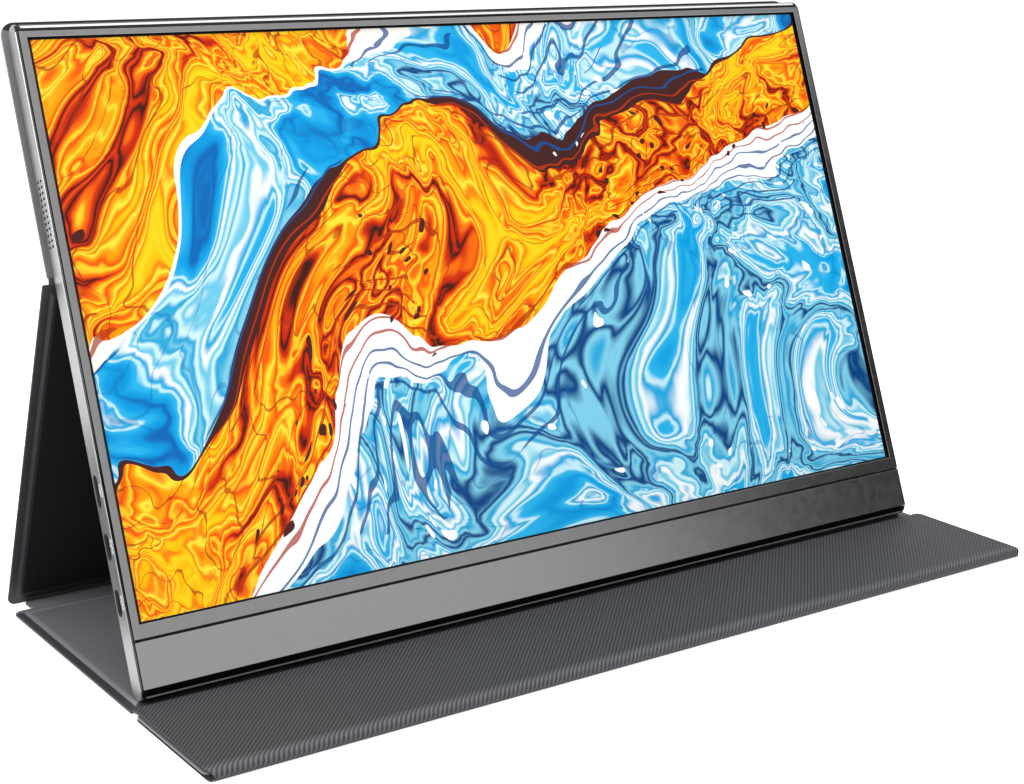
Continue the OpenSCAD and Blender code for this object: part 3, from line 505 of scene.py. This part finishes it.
dress(sheet_stock("dark_foam", (0.03, 0.03, 0.03), (0.06, 0.06, 0.06), 0.9, 1600.0),
      "foam_strips")
dress(sheet_stock("grey_card", (0.26, 0.21, 0.15), (0.36, 0.29, 0.21), 0.85, 500.0),
      "back_board", "leg_board", "spine_stay", "base_board", "leaf_board", "under_board")

# Base panel: a board between two sheets of smooth polyurethane leather. The sheets are
# pressed together into a thin border round the board, whose edge shows as a soft welt.

border_t = 0.0009
border_w = 0.0030
welt_slope = 0.0009
welt_top = 0.0004
welt_rise = 0.00015
welt_clear = 0.004
pad_slope = 0.0012
panel_round = 0.0003
crease_corner = 0.0006
free_corner = 0.0032
leather_grain = 0.00003
same_spot = 1e-6
smooth_up_to = math.radians(50.0)


def smooth_leather(name, dark, light, roughness, specular=0.45):
    """Polyurethane leather: fine pebble grain, and broad shading from handling."""
    finish, nodes, links, shader = new_finish(name, light, roughness)
    where = place_of(nodes)
    pebble = add_node(nodes, "ShaderNodeTexVoronoi", Scale=1500.0)
    crease = add_node(nodes, "ShaderNodeTexNoise", Scale=700.0, Detail=4.0)
    cloud = add_node(nodes, "ShaderNodeTexNoise", Scale=22.0, Detail=3.0)
    for pattern in (pebble, crease, cloud):
        links.new(where, pattern.inputs["Vector"])
    grain = reckon(nodes, links, "ADD", pebble.outputs["Distance"], crease.outputs["Fac"])
    tint(nodes, links, cloud.outputs["Fac"], dark, light, shader)
    vary(nodes, links, crease.outputs["Fac"], roughness - 0.07, roughness + 0.09,
         shader.inputs["Roughness"])
    raise_grain(nodes, links, shader, grain, leather_grain, 0.5)
    shader.inputs["Specular IOR Level"].default_value = specular
    return finish


outer_leather = smooth_leather("outer_leather", (0.030, 0.032, 0.036), (0.042, 0.044, 0.049), 0.5)
inner_leather = smooth_leather("inner_leather", (0.160, 0.163, 0.177), (0.195, 0.198, 0.214), 0.5)
# Painted shade: a near-black copy of the lining leather, on the leg's lining, the back panel's
# top rim and the upper leaf's backing, where shade falls.
painted_shade_leather = smooth_leather("painted_shade_leather", (0.014, 0.0145, 0.016), (0.020, 0.0205, 0.023),
                               0.55, 0.2)
# Painted highlight: a lighter, glossier copy of the lining leather on the welts, where the ridge
# catches the light.
welt_highlight_leather = smooth_leather("welt_highlight_leather", (0.24, 0.244, 0.26), (0.30, 0.305, 0.32), 0.34)
base_leather = smooth_leather("base_leather", (0.172, 0.175, 0.19), (0.215, 0.218, 0.235), 0.5)
# Edge leather is the outer skin's dark grey. On the base panel's border it is painted shade, in
# place of the lining's lighter grey; it also covers the leg's welts and three creases.
edge_leather = smooth_leather("edge_leather", (0.034, 0.036, 0.041), (0.046, 0.048, 0.054), 0.48)


def pick_faces(piece, wanted):
    """In edit mode, selects only the faces that the test wants."""
    shape = bmesh.from_edit_mesh(piece.data)
    shape.select_mode = {"FACE"}
    for face in shape.faces:
        face.select = False
    for face in shape.faces:
        face.select_set(bool(wanted(face)))
    shape.select_flush_mode()
    bmesh.update_edit_mesh(piece.data)


def flat_sheet(name, width, low, high, floor):
    """A flat sheet across X and from low to high in Y, left in edit mode."""
    bpy.ops.mesh.primitive_plane_add(size=1.0, location=(0.0, (low + high) / 2, floor))
    sheet = bpy.context.object
    sheet.name = name
    sheet.scale = (width, high - low, 1.0)
    bpy.ops.object.transform_apply(location=True, rotation=True, scale=True)
    bpy.ops.object.mode_set(mode="EDIT")
    return sheet


def face_outwards():
    """In edit mode, turns all faces of a closed piece outwards."""
    bpy.ops.mesh.select_all(action="SELECT")
    bpy.ops.mesh.normals_make_consistent(inside=False)


def raise_slab(height):
    """In edit mode, raises a flat sheet into a closed slab."""
    bpy.ops.mesh.select_all(action="SELECT")
    bpy.ops.mesh.extrude_region_move(TRANSFORM_OT_translate={"value": (0.0, 0.0, height)})
    face_outwards()


def round_edges(piece, width, segments, angle):
    """Rounds the sharp edges with a bevel, and shades the piece smooth up to an angle."""
    bevel = piece.modifiers.new("edges", "BEVEL")
    bevel.width = width
    bevel.segments = segments
    bevel.limit_method = "ANGLE"
    bevel.angle_limit = math.radians(angle)
    bevel.use_clamp_overlap = True
    bpy.ops.object.modifier_apply(modifier=bevel.name)
    bpy.ops.object.shade_smooth_by_angle(angle=smooth_up_to)


def round_corners(panel, width, edge, corner):
    """In edit mode, rounds the two upright corner edges at one end of a panel."""
    shape = bmesh.from_edit_mesh(panel.data)
    shape.select_mode = {"EDGE"}
    for line in shape.edges:
        first, second = [point.co for point in line.verts]
        upright = (first - second).xy.length < same_spot
        at_side = abs(abs(first.x) - width / 2) < same_spot
        line.select_set(upright and at_side and abs(first.y - edge) < same_spot)
    bmesh.update_edit_mesh(panel.data)
    bpy.ops.mesh.bevel(offset=corner, segments=6, affect="EDGES")


def padded_panel(name, width, low, high, thickness, corners, finishes):
    """A cover panel lying flat: X across, Y from low to high, its lining facing +Z.
    The finishes are those of the outside, the border, the welt, the lining and the far rim."""
    panel = flat_sheet(name, width, low, high, -border_t / 2)
    raise_slab(border_t)
    rise = (thickness - border_t) / 2
    steps = {1: [(border_w, 0.0), (welt_slope, rise), (welt_top, 0.0), (welt_slope, -welt_rise)],
             -1: [(border_w, 0.0), (pad_slope, rise)]}
    for side, insets in steps.items():
        pick_faces(panel, lambda face: face.normal.z * side > 0.9)
        for width_in, depth in insets:
            bpy.ops.mesh.inset(thickness=width_in, depth=depth)
    for edge, corner in zip((low, high), corners):
        round_corners(panel, width, edge, corner)
    bpy.ops.object.mode_set(mode="OBJECT")
    for finish in finishes:
        panel.data.materials.append(finish)
    outside, border, welt, lining, far_rim = range(len(finishes))
    pad = max(panel.data.polygons, key=lambda face: face.normal.z * face.area)
    for face in panel.data.polygons:
        upwards, along = face.normal.z, face.center.y
        if face.normal.y > 0.5 or (along > high - border_w and upwards > 0.5):
            face.material_index = far_rim
        elif (upwards > 0.2 and face.center.z > border_t / 2 + welt_rise / 10
              and along > low + border_w + welt_clear):
            face.material_index = welt
        else:
            face.material_index = border if upwards > -0.5 else outside
    pad.material_index = lining
    round_edges(panel, panel_round, 3, 40.0)
    return panel


rear_axis = Vector(joints["spine_fold"]["pos_m"])
foot_axis = Vector(joints["leg_fold"]["pos_m"])
back_axis = Vector(joints["back_fold"]["pos_m"])
front_axis = Vector(joints["leaf_fold"]["pos_m"])
fold_axis = Vector(joints["under_fold"]["pos_m"])
leg_line = back_axis - foot_axis
base_low, base_high = [Vector(corner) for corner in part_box("base_lining")]
base_w = base_high.x - base_low.x
base_mid = base_low.z

# The base's border takes the edge leather, as painted shade.
base_panel = padded_panel("base_cover", base_w, base_low.y, base_high.y,
                          2 * (base_high.z - base_mid), (crease_corner, free_corner),
                          (outer_leather, edge_leather, welt_highlight_leather, base_leather,
                           base_leather))
settle(base_panel, Matrix.Translation((0.0, 0.0, base_mid)))
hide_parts("base_skin", "base_lining")
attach(base_panel, "base")

# Leg panel: the same build, with the dark outer leather outside and painted shade, near-black
# leather, on its lining. It stands between the spine and the back crease, and its borders are
# bonded to the leather of both creases.

leg_low, leg_high = [Vector(corner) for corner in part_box("leg_lining")]
leg_w = leg_high.x - leg_low.x
panel_t = 0.0022
toe = 0.0006
keep_off = 0.0011
leg_turn = math.atan2(leg_line.z, leg_line.y)
leg_frame = Matrix.Translation(foot_axis) @ Matrix.Rotation(leg_turn, 4, "X")
leg_panel = padded_panel("leg_cover", leg_w, -toe, leg_line.length - keep_off, panel_t,
                         (free_corner, crease_corner),
                         (outer_leather, outer_leather, edge_leather, painted_shade_leather,
                          outer_leather))
settle(leg_panel, leg_frame)
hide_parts("leg_skin", "leg_lining")
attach(leg_panel, "leg")

# Back panel: the same build again, with magnets let into its board that hold the case. It
# stands behind the case, from the back crease to a little above the case's top.

back_corner = 0.005
back_low, back_high = [Vector(corner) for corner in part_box("back_lining")]
back_w = back_high.x - back_low.x
back_frame = Matrix.Translation(back_axis) @ Matrix.Rotation(math.pi / 2 - lean, 4, "X")
back_reach = max(back_frame.inverted() @ Vector((0.0, y, z)) for y in (back_low.y, back_high.y)
                 for z in (back_low.z, back_high.z)).y
# Its top rim takes the near-black painted shade leather.
back_panel = padded_panel("back_cover", back_w, keep_off, back_reach, panel_t,
                          (crease_corner, back_corner),
                          (outer_leather, inner_leather, inner_leather, inner_leather,
                           painted_shade_leather))
settle(back_panel, back_frame)
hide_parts("back_skin", "back_lining")
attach(back_panel, "back_panel")

# Spine: a narrow strip of leather over a stiff stay, between the rear crease and the foot
# crease. Its lining is drawn tight, so it stands up in a low arch from end to end.

spine_low, spine_high = [Vector(corner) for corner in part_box("spine_lining")]
spine_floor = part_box("spine_skin")[0][2]
spine_w = spine_high.x - spine_low.x
spine_d = spine_high.y - spine_low.y
spine_arch = 0.0005
spine_round = 0.00025
bpy.ops.mesh.primitive_cube_add(size=1.0, location=(0.0, 0.0, 0.0))
spine = bpy.context.object
spine.name = "spine_cover"
spine.scale = (spine_w, spine_d, spine_high.z - spine_floor)
bpy.ops.object.transform_apply(location=True, rotation=True, scale=True)
bpy.ops.object.mode_set(mode="EDIT")
for share in (-0.45, -0.36, -0.24, -0.12, 0.0, 0.12, 0.24, 0.36, 0.45):
    bpy.ops.mesh.select_all(action="SELECT")
    bpy.ops.mesh.bisect(plane_co=(0.0, share * spine_d, 0.0), plane_no=(0.0, 1.0, 0.0))
bpy.ops.object.mode_set(mode="OBJECT")
for point in spine.data.vertices:
    if point.co.z > 0:
        point.co.z -= spine_arch * (2 * point.co.y / spine_d) ** 2
for finish in (outer_leather, inner_leather):
    spine.data.materials.append(finish)
for face in spine.data.polygons:
    face.material_index = 1 if face.normal.z > 0.3 else 0
round_edges(spine, spine_round, 3, 40.0)
settle(spine, Matrix.Translation((0.0, (spine_low.y + spine_high.y) / 2,
                                  (spine_high.z + spine_floor) / 2)))
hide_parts("spine_skin", "spine_lining")
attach(spine, "spine")

# Creases: each is one strip of leather that runs on from a panel's border, bends over the
# fold and goes into the next border. Each is built where the cover lies at rest.

forward, rearward = Vector((0.0, -1.0, 0.0)), Vector((0.0, 1.0, 0.0))
back_line = Vector((0.0, math.sin(lean), math.cos(lean)))
crease_t = 0.0007
crease_reach = 0.0026
crease_steps = 12
fine_round = 0.00012


def give_thickness(sheet, thickness, offset):
    """Gives a sheet its thickness, with all its faces turned outwards."""
    solid = sheet.modifiers.new("thickness", "SOLIDIFY")
    solid.thickness = thickness
    solid.offset = offset
    bpy.ops.object.modifier_apply(modifier=solid.name)
    bpy.ops.object.mode_set(mode="EDIT")
    face_outwards()
    bpy.ops.object.mode_set(mode="OBJECT")


def crease_strip(name, axis, towards_a, towards_b, length, finish):
    """A strip that runs from one panel to the next through a fold's axis."""
    bpy.ops.mesh.primitive_grid_add(x_subdivisions=1, y_subdivisions=crease_steps, size=1.0)
    strip = bpy.context.object
    strip.name = name
    start, end = towards_a.normalized() * crease_reach, towards_b.normalized() * crease_reach
    for point in strip.data.vertices:
        run = point.co.y + 0.5
        bend = start * (1 - run) ** 2 + end * run ** 2
        point.co = Vector((point.co.x * length, axis.y + bend.y, axis.z + bend.z))
    give_thickness(strip, crease_t, 0.0)
    strip.data.materials.append(finish)
    round_edges(strip, fine_round, 2, 50.0)
    return strip


crease_plan = [
    ("rear_fold_strip", "rear_crease", rear_axis, forward, rearward, "base", "spine", spine_w,
     inner_leather),
    ("foot_fold_strip", "foot_crease", foot_axis, forward, leg_line, "spine", "leg", spine_w,
     edge_leather),
    ("back_fold_strip", "back_crease", back_axis, -leg_line, back_line, "leg", "back_panel",
     back_w - 2 * crease_corner, edge_leather),
]
for name, node, axis, towards_a, towards_b, body_a, body_b, length, finish in crease_plan:
    strip = crease_strip(name, axis, towards_a, towards_b, length, finish)
    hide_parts(node)
    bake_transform(strip)

# Front leaves: two thin boards backed with leather and faced with one sheet of ribbed twill.
# The twill lies on the upper leaf, rolls round the front fold, where a painted highlight makes it
# pale, and comes back under the lower leaf. A crease hangs both leaves on the base.

leaf_high = Vector(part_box("leaf_lining")[1])
under_low, under_high = [Vector(corner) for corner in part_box("under_lining")]
leaf_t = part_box("under_skin")[1][2]
fold_r = fold_axis.z
upper_run = leaf_high.y - fold_axis.y
round_run = math.pi * fold_r
lower_run = under_high.y - fold_axis.y
sheet_run = upper_run + round_run + lower_run
cloth_t = 0.0004
front_corner = 0.003
rear_corner = 0.0024
rib_pitch = 0.00124
rib_depth = 0.00022
highlight_from = 0.0056
highlight_to = 0.0014


def rib_grey(level):
    """A slightly blue grey of the twill, at a given strength."""
    return level, 1.03 * level, 1.15 * level


def ribbed_twill(fold_run):
    """Twill with straight ribs at 45 degrees, each rib a twisted yarn, with a painted highlight
    that makes it pale near the fold at a distance along the cloth."""
    finish, nodes, links, shader = new_finish("ribbed_twill", (0.07, 0.072, 0.076), 0.62)
    calc = partial(reckon, nodes, links)
    sheet_place = add_node(nodes, "ShaderNodeTexCoord").outputs["UV"]
    turned = add_node(nodes, "ShaderNodeMapping")
    turned.inputs["Rotation"].default_value = (0.0, 0.0, math.radians(-45.0))
    links.new(sheet_place, turned.inputs["Vector"])
    ribs = add_node(nodes, "ShaderNodeTexWave", Scale=math.pi / (10 * rib_pitch))
    ribs.inputs["Distortion"].default_value = 0.35
    ribs.inputs["Detail Scale"].default_value = 3.0
    yarn = add_node(nodes, "ShaderNodeTexNoise", Scale=1400.0, Detail=3.0)
    for pattern in (ribs, yarn):
        links.new(turned.outputs[0], pattern.inputs["Vector"])
    depth = calc("MULTIPLY_ADD", yarn.outputs["Fac"], 0.25, ribs.outputs["Fac"])
    plain = mixed(nodes, links, depth, rib_grey(0.006), rib_grey(0.067))
    # Painted highlight: a paler copy of the rib colours, near the fold where its round edge
    # catches the light.
    fold_highlight = mixed(nodes, links, depth, rib_grey(0.024), rib_grey(0.15))
    run = add_node(nodes, "ShaderNodeSeparateXYZ")
    links.new(sheet_place, run.inputs[0])
    share = add_node(nodes, "ShaderNodeMapRange")
    share.inputs["From Min"].default_value = highlight_from
    share.inputs["From Max"].default_value = highlight_to
    links.new(calc("ABSOLUTE", calc("SUBTRACT", run.outputs["Y"], fold_run)),
              share.inputs["Value"])
    tint(nodes, links, share.outputs["Result"], plain, fold_highlight, shader)
    raise_grain(nodes, links, shader, depth, rib_depth, 0.8)
    shader.inputs["Specular IOR Level"].default_value = 0.3
    return finish


def round_sheet(sheet, low, high, low_corner, high_corner):
    """In edit mode, rounds the corners of a flat sheet that lies from low to high in Y."""
    for edge, corner in ((low, low_corner), (high, high_corner)):
        shape = bmesh.from_edit_mesh(sheet.data)
        for point in shape.verts:
            point.select_set(abs(point.co.y - edge) < same_spot)
        shape.select_flush_mode()
        bmesh.update_edit_mesh(sheet.data)
        bpy.ops.mesh.bevel(offset=corner, segments=6, affect="VERTICES")


def sheet_spot(run):
    """Where the twill's face lies at a distance along it from the front crease."""
    if run < upper_run:
        return leaf_high.y - run, leaf_high.z
    if run < upper_run + round_run:
        turn = (run - upper_run) / fold_r
        return fold_axis.y - fold_r * math.sin(turn), fold_axis.z + fold_r * math.cos(turn)
    return fold_axis.y + run - upper_run - round_run, 0.0


cloth = flat_sheet("leaf_twill", base_w, 0.0, sheet_run, 0.0)
round_sheet(cloth, 0.0, sheet_run, rear_corner, front_corner)
fold_cuts = [upper_run - front_corner * share for share in (0.9, 0.6, 0.35, 0.15, 0.0)]
fold_cuts += [upper_run + round_run * step / 12 for step in range(1, 13)]
fold_cuts += [upper_run + round_run + front_corner * share for share in (0.15, 0.35, 0.6, 0.9)]
for cut in fold_cuts:
    bpy.ops.mesh.select_all(action="SELECT")
    bpy.ops.mesh.bisect(plane_co=(0.0, cut, 0.0), plane_no=(0.0, 1.0, 0.0))
bpy.ops.object.mode_set(mode="OBJECT")
flat_map = cloth.data.uv_layers.active or cloth.data.uv_layers.new(name="cloth")
for corner in cloth.data.loops:
    spot = cloth.data.vertices[corner.vertex_index].co
    flat_map.data[corner.index].uv = (spot.x, spot.y)
# The flat cloth is wrapped round the leaves, and its sides draw in a little at the fold.
for point in cloth.data.vertices:
    along, height = sheet_spot(point.co.y)
    depth = along - (fold_axis.y - fold_r)
    if depth < front_corner:
        narrow = front_corner - math.sqrt(front_corner ** 2 - (front_corner - depth) ** 2)
        point.co.x = math.copysign(min(abs(point.co.x), base_w / 2 - 0.5 * narrow), point.co.x)
    point.co.y, point.co.z = along, height
give_thickness(cloth, cloth_t, -1.0)
cloth.data.materials.append(ribbed_twill(upper_run + round_run / 4))
round_edges(cloth, fine_round, 2, 60.0)
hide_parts("leaf_lining", "under_lining")
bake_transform(cloth)

backing_gap = 0.0002
upper_inset = 0.0006
lower_inset = 0.0001


def leaf_backing(name, low, high, floor, top, inset, finish, corners):
    """The leather that backs a leaf, closed round its board."""
    backing = flat_sheet(name, base_w - 2 * inset, low, high, floor)
    round_sheet(backing, low, high, *corners)
    raise_slab(top - floor)
    bpy.ops.object.mode_set(mode="OBJECT")
    backing.data.materials.append(finish)
    round_edges(backing, panel_round, 3, 40.0)
    return backing


# The upper leaf's backing is near-black painted shade, for the shadow in the gap between the
# leaves.
upper_backing = leaf_backing("leaf_backing", fold_axis.y, leaf_high.y - backing_gap,
                             leaf_high.z - leaf_t, leaf_high.z - cloth_t, upper_inset,
                             painted_shade_leather, (crease_corner, rear_corner))
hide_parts("leaf_skin")
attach(upper_backing, "front_leaf")
lower_backing = leaf_backing("under_backing", under_low.y, under_high.y - backing_gap, cloth_t,
                             leaf_t, lower_inset, inner_leather, (front_corner, front_corner))
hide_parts("under_skin")
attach(lower_backing, "under_leaf")

base_dip = Vector((0.0, 0.0, -0.28))
leaf_lift = Vector((0.0, 0.0, 0.1))
front_fold = crease_strip("front_fold_strip", front_axis, rearward + base_dip,
                          forward + leaf_lift, base_w - 2 * crease_corner, edge_leather)
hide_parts("front_crease")
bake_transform(front_fold)

# Port marks: small white pictograms printed in ink on the left plate, in front of each port. A
# plain outline stands for the wide socket, and a stem between a dot and a block for each of
# the two small ones.

ink = matt_grain("white_ink", (0.95, 0.95, 0.95), roughness=0.5, scale=900.0, depth=0.000002)
ink_t = 0.00004
mark_depth = 0.0029
port_up = 0.0321
port_pitch = 0.0184
stroke = 0.0005
wide_bars = [(0.0, 0.0019, 0.0021, stroke), (0.0, -0.0019, 0.0021, stroke),
             (0.0008, 0.0, stroke, 0.0043), (-0.0008, 0.0, stroke, 0.0043)]
stem_bars = [(0.0, 0.0, stroke, 0.0042), (0.0, 0.0019, 0.0014, 2 * stroke),
             (0.0, -0.0019, 0.0013, 2 * stroke), (0.0006, 0.0004, 0.0012, stroke),
             (-0.0006, -0.0006, 0.0012, stroke)]
mark_blocks = [((0.0, mark_depth + depth, port_up + place * port_pitch + height), (ink_t, w, h))
               for place, bars in enumerate((stem_bars, stem_bars, wide_bars))
               for depth, height, w, h in bars]
port_marks = block_group("port_marks", mark_blocks,
                         Matrix.Translation((plate_low.x, 0.0, 0.0)) @ case_frame, ink)
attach(port_marks, "case")

# Camera and studio: the camera stands ahead of the left end and a little above the screen. A
# white floor carries the part, under one soft light overhead and one from the left. Two cards
# of black felt, which the camera doesn't see, darken what the metal mirrors.

turn, rise, roll = math.radians(-33.784), math.radians(14.754), math.radians(0.375)
camera_place = Vector((-0.398409, -0.524362, 0.247817))
image_w = 1024
focal_pixels = 1818.935
shift_pixels = 80
floor_drop = 0.0002
camera_data = bpy.data.cameras.new("camera")
camera = bpy.data.objects.new("camera", camera_data)
bpy.context.scene.collection.objects.link(camera)
backward = Vector((math.sin(turn) * math.cos(rise), -math.cos(turn) * math.cos(rise),
                   math.sin(rise)))
right = (-backward).cross(Vector((0.0, 0.0, 1.0))).normalized()
above = right.cross(-backward)
tilted_right = right * math.cos(roll) + above * math.sin(roll)
tilted_above = above * math.cos(roll) - right * math.sin(roll)
stand = Matrix((tilted_right, tilted_above, backward)).transposed().to_4x4()
stand.translation = camera_place
camera.matrix_world = stand
camera_data.sensor_width = 36.0
camera_data.lens = focal_pixels / image_w * camera_data.sensor_width
camera_data.shift_x = shift_pixels / image_w
camera_data.clip_start = 0.01
bpy.context.scene.camera = camera
bpy.context.scene.view_settings.view_transform = "Standard"


def backdrop_rays(nodes, links):
    """1 for the rays that the camera, metal and glass see the backdrop by, else 0."""
    paths = add_node(nodes, "ShaderNodeLightPath").outputs
    direct = reckon(nodes, links, "MAXIMUM", paths["Is Camera Ray"], paths["Is Glossy Ray"])
    return reckon(nodes, links, "MAXIMUM", direct, paths["Is Transmission Ray"])


bpy.ops.mesh.primitive_plane_add(size=12.0, location=(0.0, 0.0, -floor_drop))
floor = bpy.context.object
floor.name = "studio_floor"
paper, nodes, links, shader = new_finish("white_paper", (0.86, 0.86, 0.86), 0.9)
glow = add_node(nodes, "ShaderNodeEmission")
glow.inputs["Color"].default_value = (0.8, 0.8, 0.8, 1.0)
links.new(backdrop_rays(nodes, links), glow.inputs["Strength"])
both = add_node(nodes, "ShaderNodeAddShader")
links.new(shader.outputs[0], both.inputs[0])
links.new(glow.outputs[0], both.inputs[1])
links.new(both.outputs[0], nodes["Material Output"].inputs["Surface"])
floor.data.materials.append(paper)

world = bpy.data.worlds.new("studio")
bpy.context.scene.world = world
world.use_nodes = True
sky = world.node_tree.nodes
sky_links = world.node_tree.links
lit = sky["Background"]
lit.inputs["Color"].default_value = (0.36, 0.36, 0.365, 1.0)
lit.inputs["Strength"].default_value = 1.0
pale = add_node(sky, "ShaderNodeBackground")
pale.inputs["Color"].default_value = (1.0, 1.0, 1.0, 1.0)
choose = add_node(sky, "ShaderNodeMixShader")
sky_links.new(backdrop_rays(sky, sky_links), choose.inputs[0])
sky_links.new(lit.outputs[0], choose.inputs[1])
sky_links.new(pale.outputs[0], choose.inputs[2])
sky_links.new(choose.outputs[0], sky["World Output"].inputs["Surface"])


def soft_box(name, place, aim, size, power):
    """A square soft light at a place, turned to what it lights."""
    lamp = bpy.data.lights.new(name, "AREA")
    lamp.shape = "SQUARE"
    lamp.size = size
    lamp.energy = power
    holder = bpy.data.objects.new(name, lamp)
    bpy.context.scene.collection.objects.link(holder)
    holder.location = place
    holder.rotation_euler = (Vector(aim) - Vector(place)).to_track_quat("-Z", "Y").to_euler()


def black_card(name, place, size, turns, unseen_by):
    """A card of black felt at a place, hidden from some kinds of ray."""
    bpy.ops.mesh.primitive_plane_add(size=1.0, location=place)
    card = bpy.context.object
    card.name = name
    card.scale = (*size, 1.0)
    card.rotation_euler = [math.radians(angle) for angle in turns]
    card.data.materials.append(felt)
    for kind in unseen_by:
        setattr(card, "visible_" + kind, False)


soft_box("overhead_light", (-0.1, -0.15, 1.3), aim=(0.0, 0.0, 0.0), size=1.2, power=11.0)
soft_box("left_light", (-1.3, 0.15, 0.6), aim=(0.0, 0.05, 0.02), size=0.7, power=12.0)
felt = matt_grain("flag_felt", (0.01, 0.01, 0.01), roughness=0.9, scale=300.0, depth=0.0001)
black_card("black_flag", (1.225, -0.60, 0.355), size=(1.0, 0.8), turns=(90.0, 0.0, 43.0),
           unseen_by=["camera"])
black_card("low_black_card", (-0.258, 0.150, 0.004), size=(0.124, 0.25),
           turns=(0.0, 0.0, 0.0), unseen_by=["camera", "diffuse", "shadow"])
